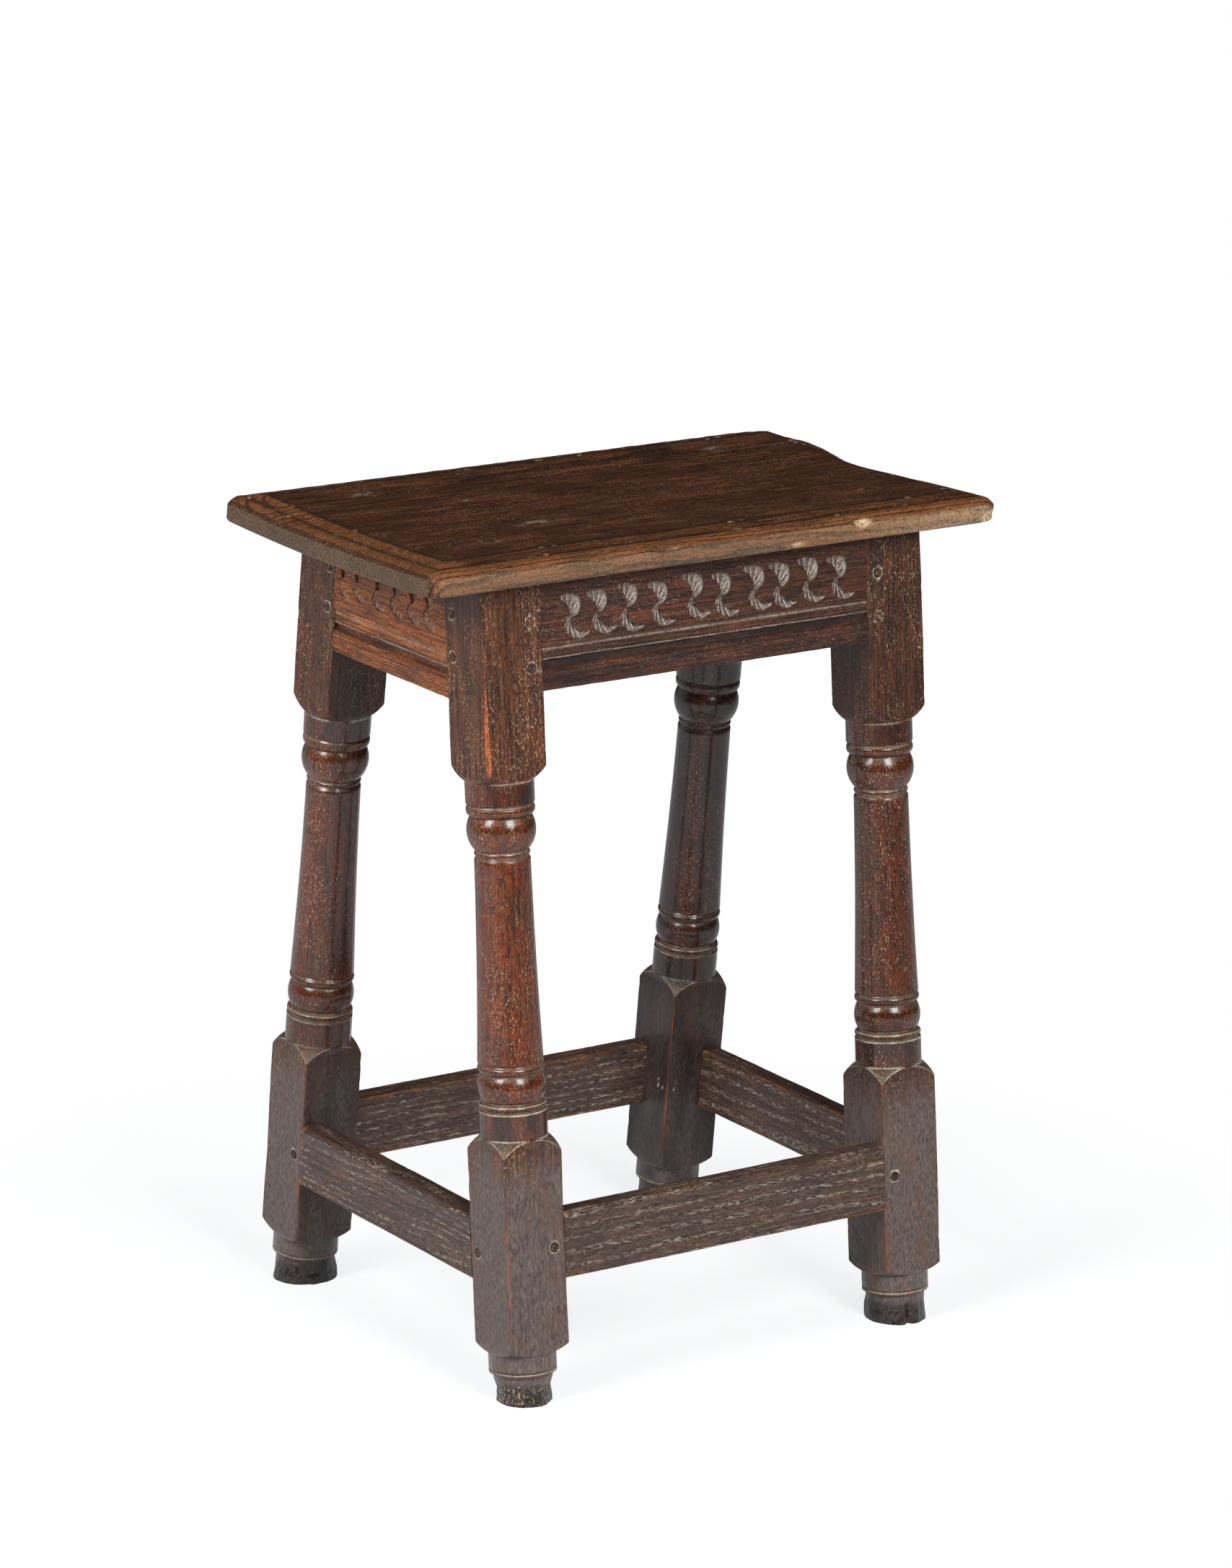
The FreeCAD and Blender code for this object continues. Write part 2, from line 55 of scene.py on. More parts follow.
# Sizes of the frame in millimetres, as in the CAD model
FRAME_HEIGHT = 557.0
SEAT_LENGTH = 460.0
SEAT_DEPTH = 268.0
SEAT_THICKNESS = 19.7
SEAT_CUP = 3.2
FRAME_HALF_X = 178.0
FRAME_HALF_Y = 111.2
LEG_SIDE = 46.2
LEG_SPLAY = 54.6
HALF_LEG = LEG_SIDE / 2
LEAN = math.atan2(LEG_SPLAY, FRAME_HEIGHT)
LEG_LENGTH = FRAME_HEIGHT / math.cos(LEAN)
LEG_AXIS_X = FRAME_HALF_X - HALF_LEG
LEG_AXIS_Y_TOP = FRAME_HALF_Y - HALF_LEG / math.cos(LEAN)
INNER_HALF_X = LEG_AXIS_X - HALF_LEG
CUP_RADIUS = (SEAT_DEPTH / 2) ** 2 / (2 * SEAT_CUP)
SEAT_UNDER_MIDDLE = FRAME_HEIGHT - FRAME_HALF_Y ** 2 / (2 * CUP_RADIUS)
FRONT_WING = Matrix.Translation((0, -LEG_AXIS_Y_TOP * MM, FRAME_HEIGHT * MM)) @ Matrix.Rotation(-LEAN, 4, "X")
WINGS = {"front": FRONT_WING, "back": Matrix.Rotation(math.pi, 4, "Z") @ FRONT_WING}
STRETCHER_TOPS = {"front": 128.5, "back": 123.5, "left": 123.0, "right": 123.0}
LONG_STRETCHER_HEIGHT = 45.5
SHORT_STRETCHER_HEIGHT = 43.5
LONG_FRIEZE_HEIGHT = 78.2
SHORT_FRIEZE_HEIGHT = 84.7
LONG_RAILS = ("front", "back")
# How far the rails' faces stand back from the legs', and how far the rails' ends run into the legs
FRIEZE_INSET = 0.8
STRETCHER_INSET = 0.05
RAIL_OVERLAP = 0.4
MOULDING_RISE = 28.8
CARVING_DROP = 31.0
# Sweep of the gouge, depth of a scoop, and radius of the coin of uncut ground beside it
GOUGE_SWEEP = 32.2
SCOOP_DEPTH = 3.2
COIN_RADIUS = 12.5
PEG_RADIUS = 3.55
PEG_INSET = 9.0
# A scoop's outline runs in two arcs through five points; at (0, 0) is the pinch where two scoops meet
UPPER_SCOOP = ((-11.3, 13.6), (-2.0, 16.2), (6.5, 14.2), (9.2, 8.0), (0.3, -0.8))
LOWER_SCOOP = ((-0.2, 0.6), (-5.0, -7.5), (0.0, -13.6), (7.5, -15.6), (16.0, -10.8))


# Modelling by hand

def only(obj):
    """Select one object alone and make it active."""
    bpy.ops.object.select_all(action="DESELECT")
    obj.select_set(True)
    bpy.context.view_layer.objects.active = obj


def drawn(name, points, closed):
    """Object of points in millimetres, joined by edges one after another."""
    mesh = bpy.data.meshes.new(name)
    last = len(points) - 1
    edges = [(index, index + 1) for index in range(last)] + ([(last, 0)] if closed else [])
    mesh.from_pydata([Vector(point) * MM for point in points], edges, [])
    obj = bpy.data.objects.new(name, mesh)
    bpy.context.scene.collection.objects.link(obj)
    only(obj)
    return obj


def edit(obj, *steps):
    """Run edit-mode steps on everything in an object."""
    only(obj)
    bpy.ops.object.mode_set(mode="EDIT")
    for step, settings in steps:
        bpy.ops.mesh.select_all(action="SELECT")
        step(**settings)
    bpy.ops.object.mode_set(mode="OBJECT")


def modify(obj, kind, **settings):
    """Add a modifier and apply it."""
    only(obj)
    modifier = obj.modifiers.new(kind.title(), kind)
    for name, value in settings.items():
        setattr(modifier, name, value)
    bpy.ops.object.modifier_apply(modifier=modifier.name)


def combine(obj, tool, operation):
    """Cut, join or keep what two objects share, and use the tool up."""
    modify(obj, "BOOLEAN", object=tool, operation=operation, solver="MANIFOLD")
    bpy.data.objects.remove(tool)


def trim(obj, point, direction):
    """Saw off what lies past a plane, in millimetres, and close the cut."""
    edit(obj, (bpy.ops.mesh.bisect, {"plane_co": Vector(point) * MM, "plane_no": direction,
                                     "use_fill": True, "clear_outer": True, "threshold": 0.000001}))


def place(obj, matrix):
    """Put an object in its place, with its origin left at the world's."""
    only(obj)
    obj.matrix_world = matrix
    bpy.ops.object.transform_apply(location=True, rotation=True, scale=True)


def shifted(x, y, z):
    return Matrix.Translation((x * MM, y * MM, z * MM))


def copied(obj, name):
    """Copy with its own mesh."""
    copy = obj.copy()
    copy.data = obj.data.copy()
    copy.name = name
    bpy.context.scene.collection.objects.link(copy)
    return copy


def joined(objects):
    """Make several objects one."""
    only(objects[0])
    for obj in objects:
        obj.select_set(True)
    bpy.ops.object.join()
    return objects[0]


def rows_of(obj, kind):
    """Three numbers for each point of an object."""
    values = np.empty(len(obj.data.vertices) * 3)
    obj.data.vertices.foreach_get(kind, values)
    return values.reshape(-1, 3)


def points_of(obj):
    """The object's points in millimetres."""
    return rows_of(obj, "co") / MM


def normals_of(obj):
    return rows_of(obj, "normal")


def move_points(obj, points):
    obj.data.vertices.foreach_set("co", (points * MM).ravel())
    obj.data.update()


def wander(points, size, seed):
    """Smooth noise from -1 to 1 at points, for a feature size in millimetres; size may be one per axis."""
    scaled = points / np.asarray(size, dtype=float) + 17.3 * seed
    return np.array([noise.noise(Vector(point)) for point in scaled])


def smooth_step(values, low, high):
    share = np.clip((values - low) / (high - low), 0, 1)
    return share * share * (3 - 2 * share)


def near(values, middle, width):
    """One at a value, fading to both sides of it."""
    return np.exp(-((values - middle) / width) ** 2)


def band(values, start, full, last, end):
    """One between two values, with soft ends outside them."""
    return smooth_step(values, start, full) * smooth_step(values, end, last)


def paint(obj, name, values):
    """Write one number per point, for the materials to read."""
    attribute = obj.data.attributes.get(name) or obj.data.attributes.new(name, "FLOAT", "POINT")
    attribute.data.foreach_set("value", np.clip(values, 0, 1).astype(np.float32))


def bending(obj, passes=2):
    """How sharply the surface turns at each point, per millimetre: above zero on an arris."""
    points = points_of(obj)
    normals = normals_of(obj)
    edges = np.empty(len(obj.data.edges) * 2, dtype=np.int32)
    obj.data.edges.foreach_get("vertices", edges)
    first, second = edges.reshape(-1, 2).T
    run = points[second] - points[first]
    length_squared = np.maximum((run ** 2).sum(axis=1), 0.04)
    count = np.maximum(np.bincount(edges, minlength=len(points)), 1)
    turn = np.zeros(len(points))
    np.add.at(turn, first, -2 * (normals[first] * run).sum(axis=1) / length_squared)
    np.add.at(turn, second, 2 * (normals[second] * run).sum(axis=1) / length_squared)
    turn = np.clip(turn / count, -1.5, 1.5)
    for _ in range(passes):
        around = np.zeros(len(points))
        np.add.at(around, first, turn[second])
        np.add.at(around, second, turn[first])
        turn = 0.5 * turn + 0.5 * around / count
    return turn


def finish(obj, material):
    """Shade a piece smooth up to 35 degrees, dress it and let it stand with the frame."""
    only(obj)
    bpy.ops.object.shade_smooth_by_angle(angle=math.radians(35))
    dress(obj, material)
    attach(obj, "root")


def in_frame(points, matrix):
    """Points in millimetres as a placed frame sees them."""
    back = np.array(matrix.inverted())
    return points @ back[:3, :3].T + back[:3, 3] / MM


def paint_wear(obj, seed, sharp):
    """Paint worn arrises, from one sharpness to another, and dirt with painted shade in the corners."""
    turn = bending(obj)
    patchy = 0.8 + 0.6 * wander(points_of(obj), 14, seed)
    paint(obj, "worn", smooth_step(turn, *sharp) * patchy)
    paint(obj, "dirt_and_shade", smooth_step(-turn, 0.12, 0.5))


# Colours and nodes

def linear(hex_colour):
    """Turn an sRGB hex value into the linear colour that nodes take."""
    channels = [int(hex_colour[start:start + 2], 16) / 255 for start in (1, 3, 5)]
    straight = [c / 12.92 if c <= 0.04045 else ((c + 0.055) / 1.055) ** 2.4 for c in channels]
    return (*straight, 1.0)


def add_node(tree, kind, *inputs, output=None, **settings):
    """Add a node with its settings, and give one of its outputs: the first, where none is named.

    Inputs go to its sockets in order: each is a value, a hex colour, or a socket to link from.
    """
    node = tree.nodes.new("ShaderNode" + kind)
    for name, value in settings.items():
        setattr(node, name, value)
    open_sockets = [socket for socket in node.inputs if socket.enabled]
    for socket, value in zip(open_sockets, inputs):
        if isinstance(value, bpy.types.NodeSocket):
            tree.links.new(value, socket)
        else:
            socket.default_value = linear(value) if isinstance(value, str) else value
    if output:
        return node.outputs[output]
    return next(socket for socket in node.outputs if socket.enabled)


def new_material(name):
    """A material that holds a shader, which to_surface links to its surface."""
    material = bpy.data.materials.new(name)
    material.use_nodes = True
    tree = material.node_tree
    tree.nodes.clear()
    return material, tree, tree.nodes.new("ShaderNodeBsdfPrincipled")


def to_surface(tree, socket):
    """Link a shader to the material's surface."""
    tree.links.new(socket, tree.nodes.new("ShaderNodeOutputMaterial").inputs["Surface"])


def dress(obj, material):
    """Give an object one material."""
    obj.data.materials.clear()
    obj.data.materials.append(material)


# Settings that many nodes share
TIMES = {"operation": "MULTIPLY"}
SOFT = {"interpolation_type": "SMOOTHSTEP"}
COLOURS = {"data_type": "RGBA"}


def grain_group():
    """Solid oak: rings round a heart, pores along the grain, streaks and patches of age, and fine specks.

    The vector comes in millimetres with the grain along Z.
    """
    name = "Oak grain"
    if name in bpy.data.node_groups:
        return bpy.data.node_groups[name]
    tree = bpy.data.node_groups.new(name, "ShaderNodeTree")
    tree.interface.new_socket("Vector", in_out="INPUT", socket_type="NodeSocketVector")
    tree.interface.new_socket("Ring Width", in_out="INPUT", socket_type="NodeSocketFloat")
    for output in ("Rings", "Pores", "Streaks", "Patches", "Blotches", "Specks", "Flecks", "Lines"):
        tree.interface.new_socket(output, in_out="OUTPUT", socket_type="NodeSocketFloat")
    entry = tree.nodes.new("NodeGroupInput")
    node = partial(add_node, tree)

    def noise_of(size, detail, roughness=0.5, shift=(0, 0, 0), output=None):
        """Noise with a feature size in millimetres along each axis, moved away from a like one by a shift."""
        moved = node("VectorMath", entry.outputs["Vector"], shift, operation="ADD")
        scaled = node("VectorMath", moved, size, operation="DIVIDE")
        return node("TexNoise", scaled, 1.0, detail, roughness, output=output)

    # The rings waver slowly along the grain, so that flat-sawn faces show long arches
    sway = node("VectorMath", noise_of((45, 45, 150), 3.0, output="Color"), (14, 14, 0), **TIMES)
    swayed = node("VectorMath", sway, entry.outputs["Vector"], operation="ADD")
    distance = node("VectorMath", node("VectorMath", swayed, (1, 1, 0.03), **TIMES), operation="LENGTH")
    ring_number = node("Math", distance, entry.outputs["Ring Width"], operation="DIVIDE")
    phase = node("Math", ring_number, operation="FRACT")
    opening = node("MapRange", phase, 0.0, 0.1, **SOFT)
    closing = node("MapRange", phase, 0.26, 0.5, 1.0, 0.0, **SOFT)
    # Oak's pores are about 0.3 mm wide; these are drawn wider so that the camera sees them
    values = (
        node("Math", opening, closing, **TIMES),
        node("MapRange", noise_of((0.7, 0.7, 5.0), 1.0), 0.5, 0.58, **SOFT),
        noise_of((1.8, 1.8, 45.0), 4.0, 0.65),
        noise_of((20.0, 20.0, 50.0), 5.0, 0.65),
        noise_of((13.0, 13.0, 34.0), 5.0, 0.7, (311, 97, 53)),
        node("MapRange", noise_of((0.8, 0.8, 1.9), 1.0), 0.62, 0.7, **SOFT),
        node("MapRange", noise_of((0.9, 0.9, 4.0), 1.0, shift=(71, 13, 37)), 0.52, 0.62, **SOFT),
        node("MapRange", noise_of((0.9, 0.9, 16.0), 2.0), 0.56, 0.68, **SOFT),
    )
    leave = tree.nodes.new("NodeGroupOutput")
    for socket, value in zip(leave.inputs, values):
        tree.links.new(value, socket)
    return tree


def old_oak(name, look):
    """Old waxed oak: its colour, pores, worn arrises, dirt, dust and sheen, with painted shade and
    highlights, as one look gives them.

    turn and heart set the way of the grain and where the rings are centred, in degrees and millimetres.
    """
    material, tree, shader = new_material(name)
    node = partial(add_node, tree)
    where = node("TexCoord", output="Object")
    turn = [math.radians(angle) for angle in look["turn"]]
    along = node("Mapping", where, look["heart"], turn, (1 / MM, 1 / MM, 1 / MM))
    grain = node("Group", along, look["ring_width"], node_tree=grain_group()).node
    rings, pores, streaks, patches, blotches, specks, flecks, lines = list(grain.outputs)

    def lay(share, strength, over):
        """Lay a colour where a mask is, at a part of the mask's strength."""
        return node("Mix", node("Math", share, strength, **TIMES), colour, over, **COLOURS)

    def mottle_of(size, roughness=0.5):
        """Mottling with a feature size in millimetres along each axis."""
        return node("TexNoise", node("VectorMath", along, size, operation="DIVIDE"), 1.0, 3.0, roughness)

    # Brown oak from nearly black to light, then the red glow of old wax on the turned parts
    colour = node("Mix", node("MapRange", streaks, 0.34, 0.66, **SOFT), look["dark"], look["mid"], **COLOURS)
    light_patches = node("MapRange", patches, 0.46, 0.62, **SOFT)
    light_streaks = node("MapRange", streaks, 0.42, 0.62, **SOFT)
    colour = lay(node("Math", light_patches, light_streaks, **TIMES), 0.9, look["light"])
    if "glow" in look:
        turned = node("Attribute", attribute_name="turned", output="Fac")
        glow_share = node("MapRange", turned, 0, 1, 0.12, 1.0, **SOFT)
        glow = node("Math", node("MapRange", blotches, 0.36, 0.56, **SOFT), glow_share, **TIMES)
        colour = lay(glow, 0.85, look["glow"])
        colour = lay(node("Math", glow, lines, **TIMES), 0.5, look["worn"])
    colour = lay(node("MapRange", blotches, 0.56, 0.7, **SOFT), 0.8, look["patina"])
    # The tint multiplies the colours, and its value per piece paints how brightly that piece is lit
    colour = node("Mix", 1.0, colour, look["glaze_and_light"], blend_type="MULTIPLY", **COLOURS)
    # Near the floor mops and feet have greyed the oak
    if "low_from" in look:
        height = node("SeparateXYZ", where, output="Z")
        uneven = node("Math", height, node("Math", patches, 0.04, **TIMES), operation="ADD")
        low = node("MapRange", uneven, look["low_from"], look["low_from"] + 0.045, 1.0, 0.0, **SOFT)
        mottle = node("MapRange", mottle_of((1.7, 1.7, 4.5), 0.6), 0.28, 0.72, **SOFT)
        grey = node("Mix", mottle, look["low_dark"], look["low_light"], **COLOURS)
        patch = node("MapRange", blotches, 0.5, 0.64, 0.0, 0.6, **SOFT)
        grey = node("Mix", patch, grey, look["low_patch"], **COLOURS)
        colour = node("Mix", low, colour, grey, **COLOURS)
        calm = node("MapRange", low, 0.0, 1.0, 1.0, 0.3, **SOFT)
        flecks, specks, rings, pores = [
            node("Math", mark, calm, **TIMES) for mark in (flecks, specks, rings, pores)]
    # Arrises are rubbed dark red and worn through to brighter oak, with a ragged edge
    worn = node("Attribute", attribute_name="worn", output="Fac")
    ragged = node("Math", node("MapRange", streaks, 0.25, 0.6, -0.35, 0.35, **SOFT),
                  node("MapRange", worn, 0.0, 0.3, **SOFT), **TIMES)
    edge = node("Math", worn, ragged, operation="ADD", use_clamp=True)
    colour = lay(node("MapRange", edge, 0.1, 0.5, **SOFT), look["rub_share"], look["rubbed"])
    colour = lay(node("MapRange", edge, 0.45, 0.95, **SOFT), look["worn_share"], look["worn"])
    # Dark rings and flecks, and pores that are denser in the rings
    colour = lay(rings, look["rings"], "#120b08")
    colour = lay(flecks, look["flecks"], "#0e0806")
    in_rings = node("Math", pores, node("MapRange", rings, 0, 1, look["loose_pores"], 1.0, **SOFT), **TIMES)
    open_here = node("MapRange", blotches, 0.42, 0.58, look["even_pores"], 1.0, **SOFT)
    colour = lay(node("Math", in_rings, open_here, **TIMES), look["pores"], look["pore_colour"])
    here = node("MapRange", patches, 0.4, 0.56, 0.15, 1.0, **SOFT)
    colour = lay(node("Math", specks, here, **TIMES), look["specks"], look["speck"])
    colour = lay(lines, look["lines"], "#8c7868")
    if "low_from" in look:
        end_grain = node("MapRange", mottle_of((1.5, 1.5, 2.0)), 0.54, 0.64, **SOFT)
        foot = node("Mix", end_grain, "#17120f", look["foot"], **COLOURS)
        colour = lay(node("MapRange", height, 0.012, 0.018, 1.0, 0.0, **SOFT), 0.85, foot)
    # Dirt and painted shade in the corners, and on top of it the dust with painted sheen, and the pale breaks
    # with painted highlights
    colour = lay(node("Attribute", attribute_name="dirt_and_shade", output="Fac"), 0.85, "#120c0a")
    powder = mottle_of((1.4, 1.4, 2.2))
    dust_and_sheen = node("Math", node("Attribute", attribute_name="dust_and_sheen", output="Fac"),
                node("MapRange", powder, 0.36, 0.56, 0.4, 1.0, **SOFT), **TIMES)
    colour = lay(dust_and_sheen, look["dust_share"], look["dust_and_sheen"])
    if "break_and_highlight" in look:
        breaks_and_highlights = node("Math", node("Attribute", attribute_name="broken_and_highlit", output="Fac"),
                     node("MapRange", powder, 0.4, 0.54, 0.3, 1.0, **SOFT), **TIMES)
        colour = node("Mix", breaks_and_highlights, colour, look["break_and_highlight"], **COLOURS)
    tree.links.new(colour, shader.inputs["Base Color"])
    # The wax is matt on flat faces and in dust; turned parts are polished and keep a coat of it
    rough = node("MapRange", patches, 0.3, 0.7, look["roughness"] - 0.05, look["roughness"] + 0.09, **SOFT)
    strength = look["relief"]
    if "polish" in look:
        polished = node("Math", turned, look["polish"], **TIMES)
        rough = node("Math", rough, polished, operation="SUBTRACT", use_clamp=True)
        tree.links.new(node("Math", turned, 0.3, **TIMES), shader.inputs["Coat Weight"])
        shader.inputs["Coat Roughness"].default_value = 0.16
        strength = node("MapRange", turned, 0.0, 1.0, look["relief"], 0.2, **SOFT)
    rough = node("Math", rough, node("Math", dust_and_sheen, 0.25, **TIMES), operation="ADD", use_clamp=True)
    tree.links.new(rough, shader.inputs["Roughness"])
    shader.inputs["Specular IOR Level"].default_value = look["shine"]
    # Small dents, open pores and raised latewood
    relief = node("MapRange", mottle_of((4.0, 4.0, 9.0)), 0.25, 0.45, 0.0, 0.5, **SOFT)
    for mark, share in ((pores, -0.6), (streaks, 0.5), (powder, 0.5)):
        relief = node("Math", mark, share, relief, operation="MULTIPLY_ADD")
    filter_width = 0.1
    bump = node("Bump", strength, 0.4 * MM, filter_width, relief)
    tree.links.new(bump, shader.inputs["Normal"])
    to_surface(tree, shader.outputs["BSDF"])
    return material


# Looks of the oak, by piece: shares from 0 to 1, ring width in millimetres, and colours. The glaze_and_light
# tint multiplies the wood's own colours, from dark to patina, and its value per piece is painted light; what
# lies on top of it is the colour that the eye sees
OAK_LOOK = {
    "turn": (0, 0, 0), "rubbed": "#2e150b", "rub_share": 0.6, "worn_share": 0.9, "rings": 0.3,
    "pore_colour": "#0e0806", "loose_pores": 0.25, "even_pores": 1.0, "specks": 0.4, "speck": "#9a8468",
    "dust_share": 0.85, "roughness": 0.42, "relief": 0.6, "shine": 0.32,
}
# Waxed oak, turned and planed: red brown, glowing on the turned parts and greyed near the floor
LEG_LOOK = OAK_LOOK | {
    "dark": "#38241a", "mid": "#90603a", "light": "#a86c3a", "patina": "#33211a", "worn": "#a04e20",
    "rubbed": "#3c150b", "ring_width": 2.6, "pores": 0.3, "flecks": 0.75, "specks": 0.8, "speck": "#a08c6a",
    "lines": 0.1, "dust_and_sheen": "#c4c4ae", "dust_share": 0.95, "polish": 0.22, "relief": 0.48, "low_from": 0.165,
    "low_dark": "#3a3230", "low_light": "#655650", "low_patch": "#5a3e2c", "foot": "#3c342e",
}
# Waxed oak, planed and carved: dull brown, with pale dust and painted highlights in the scoops
FRIEZE_LOOK = OAK_LOOK | {
    "dark": "#2e1a12", "light": "#8e522c", "patina": "#2c201e", "worn": "#7a4420", "rub_share": 0.4,
    "glaze_and_light": "#bca292", "ring_width": 2.2, "pores": 0.5, "flecks": 0.6, "lines": 0.08,
    "dust_and_sheen": "#8a7e72", "dust_share": 0.95, "break_and_highlight": "#bab2a8",
}
# The left frieze is painted brighter and more orange, as a lit copy of the frieze look
LIT_LEFT_FRIEZE_LOOK = FRIEZE_LOOK | {
    "dark": "#5a3418", "light": "#c07a30", "patina": "#4c2e1a", "glaze_and_light": "#e4ccb0", "flecks": 0.5}
# Greyed oak with little wax left: purple brown, with pale dirt in its open pores
STRETCHER_LOOK = OAK_LOOK | {
    "dark": "#3a2f2b", "light": "#6c503a", "patina": "#3a3234", "worn": "#7a4620", "glaze_and_light": "#e2d0c6",
    "ring_width": 4.6, "rings": 0.12, "pores": 0.4, "pore_colour": "#c0b4a4", "loose_pores": 0.08,
    "even_pores": 0.15, "flecks": 0.55, "lines": 0.06, "dust_and_sheen": "#6c6056",
}
# Waxed oak, dark with handling: nearly black in places, brighter along its worn edges
SEAT_LOOK = OAK_LOOK | {
    "dark": "#40281a", "light": "#94602e", "patina": "#342216", "worn": "#7c4a26", "worn_share": 0.7,
    "rubbed": "#583618", "rub_share": 0.8, "glaze_and_light": "#b49c86", "ring_width": 3.4, "rings": 0.6, "pores": 0.4,
    "flecks": 0.5, "lines": 0.05, "dust_and_sheen": "#a49c84", "roughness": 0.44, "relief": 0.5, "break_and_highlight": "#b8a080",
    "shine": 0.22,
}


def tint(name, description, hex_colour):
    """A colour that a user may change."""
    return FloatVectorProperty(name=name, description=description, subtype="COLOR", min=0, max=1,
                               default=linear(hex_colour)[:3])


class StoolColours(bpy.types.PropertyGroup):
    """Colours that a user would change."""
    leg_glow: tint("Leg glow", "Red of the old wax on the turned parts", "#944c1a")
    frieze_oak: tint("Frieze oak", "Brown of the front, back and right friezes", "#74482a")
    # The left frieze's orange brown is a lit copy of the frieze oak: painted light
    lit_left_frieze_oak: tint("Left frieze oak", "Orange brown of the left frieze", "#a86428")
    stretcher_oak: tint("Stretcher oak", "Grey brown of the stretchers", "#5a4840")
    seat_oak: tint("Seat oak", "Brown of the seat board", "#744a2a")
    peg_oak: tint("Peg oak", "Brown of the pegs' ends", "#3c281f")


class StoolSizes(bpy.types.PropertyGroup):
    """Sizes that a user would change."""
    leg_steps: IntProperty(
        name="Leg steps", description="Facets round each turned leg", default=144, min=48)
    end_wear: FloatProperty(
        name="End wear", description="How deep the seat's right end is worn, in millimetres",
        default=8.0, min=0)
    chip_depth: FloatProperty(
        name="Chip depth", description="How deep splinters are gone, in millimetres", default=2.6, min=0)
    scoop_slant: FloatProperty(
        name="Scoop slant", description="How far a scoop may lean by eye, in degrees", default=5.0, min=0)
    camera_place: FloatVectorProperty(
        name="Camera place", description="Where the camera stands", size=3, subtype="XYZ", unit="LENGTH",
        default=(-2.3532, -3.4665, 1.5296))
    camera_turn: FloatVectorProperty(
        name="Camera turn", description="How the camera is turned", size=3, subtype="EULER", unit="ROTATION",
        default=(math.radians(74.5478), math.radians(-1.0593), math.radians(-33.9594)))
    camera_lens: FloatProperty(
        name="Lens", description="Focal length for a 36 mm long side, in millimetres", default=145.38, min=20)


# Legs

def arc(start, middle, end, step):
    """Points on the circle through three (place, radius) pairs, the start left out."""
    (ax, ay), (bx, by), (cx, cy) = start, middle, end
    double = 2 * (ax * (by - cy) + bx * (cy - ay) + cx * (ay - by))
    squares = [x * x + y * y for x, y in (start, middle, end)]
    centre_x = (squares[0] * (by - cy) + squares[1] * (cy - ay) + squares[2] * (ay - by)) / double
    centre_y = (squares[0] * (cx - bx) + squares[1] * (ax - cx) + squares[2] * (bx - ax)) / double
    radius = math.hypot(ax - centre_x, ay - centre_y)
    first = math.atan2(ay - centre_y, ax - centre_x)
    swing = (math.atan2(cy - centre_y, cx - centre_x) - first + math.pi) % (2 * math.pi) - math.pi
    count = max(2, round(abs(swing) * radius / step))
    return [(centre_x + radius * math.cos(first + swing * index / count),
             centre_y + radius * math.sin(first + swing * index / count)) for index in range(1, count + 1)]


class Turning:
    """A leg's profile from the seat down: places along the leg with their radii."""

    def __init__(self, place, radius):
        self.points = [(place, radius)]

    def straight(self, length, radius, step=1.0):
        place, before = self.points[-1]
        count = max(1, round(length / step))
        for index in range(1, count + 1):
            share = index / count
            self.points.append((place + length * share, before + (radius - before) * share))

    def swell(self, length, middle, end, middle_length=None, step=0.8):
        place, before = self.points[-1]
        halfway = place + (middle_length or length / 2)
        self.points += arc((place, before), (halfway, middle), (place + length, end), step)

    def quirk(self, floor, slope, after):
        """Groove with a steep upper side, and a slope below that gathers dust, out to the next member."""
        self.straight(0.35, floor, 0.18)
        self.straight(slope, after, 0.3)


def turned_profile():
    """All the members of a leg, in the order in which the eye runs down it."""
    bare = LEG_SIDE / math.sqrt(2)
    turning = Turning(-8, bare)
    turning.straight(134, bare, 2.4)
    turning.swell(10.5, 29.0, 23.0, step=0.6)
    turning.straight(15.1, 23.0, 1.2)
    turning.quirk(21.5, 1.75, 22.5)
    turning.quirk(21.9, 0.2, 22.7)
    turning.swell(4.05, 23.0, 22.6, step=0.5)
    turning.straight(2.2, 20.7, 0.5)
    turning.swell(22.4, 23.1, 18.5, 10.0)
    turning.quirk(17.4, 1.25, 18.4)
    turning.swell(2.2, 18.7, 18.4, step=0.4)
    turning.quirk(17.2, 2.65, 18.8)
    turning.swell(137.2, 19.9, 22.1, step=2.8)
    turning.quirk(20.6, 1.3, 21.3)
    turning.swell(4.9, 22.5, 21.4, step=0.45)
    turning.quirk(19.8, 1.3, 20.9)
    turning.swell(17.3, 23.0, 20.9)
    turning.quirk(19.6, 1.55, 21.9)
    turning.swell(3.6, 23.0, 21.8, step=0.45)
    turning.quirk(20.9, 1.35, 23.0)
    turning.straight(18.4, 23.0, 1.2)
    turning.swell(10.5, 29.0, bare, step=0.6)
    turning.straight(131.5, bare, 2.4)
    turning.swell(5.5, 29.0, 23.0, step=0.5)
    turning.straight(11.4, 23.0, 1.2)
    turning.quirk(21.5, 0.95, 23.0)
    turning.straight(1.4, 23.0, 0.5)
    turning.straight(1.8, 20.0, 0.6)
    turning.straight(LEG_LENGTH + 8 - turning.points[-1][0], 21.6, 1.0)
    return turning.points


def square_distance(angle, half, corner):
    """Distance from the axis to a square bar's side, its arrises rounded by a radius."""
    fold = np.abs((angle + math.pi / 4) % (math.pi / 2) - math.pi / 4)
    across, along = np.sin(fold), np.cos(fold)
    inner = half - corner
    reach = inner * (along + across)
    rounded = reach + np.sqrt(np.maximum(reach ** 2 - 2 * inner ** 2 + corner ** 2, 0))
    return np.where(half * np.tan(fold) <= inner, half / along, rounded)


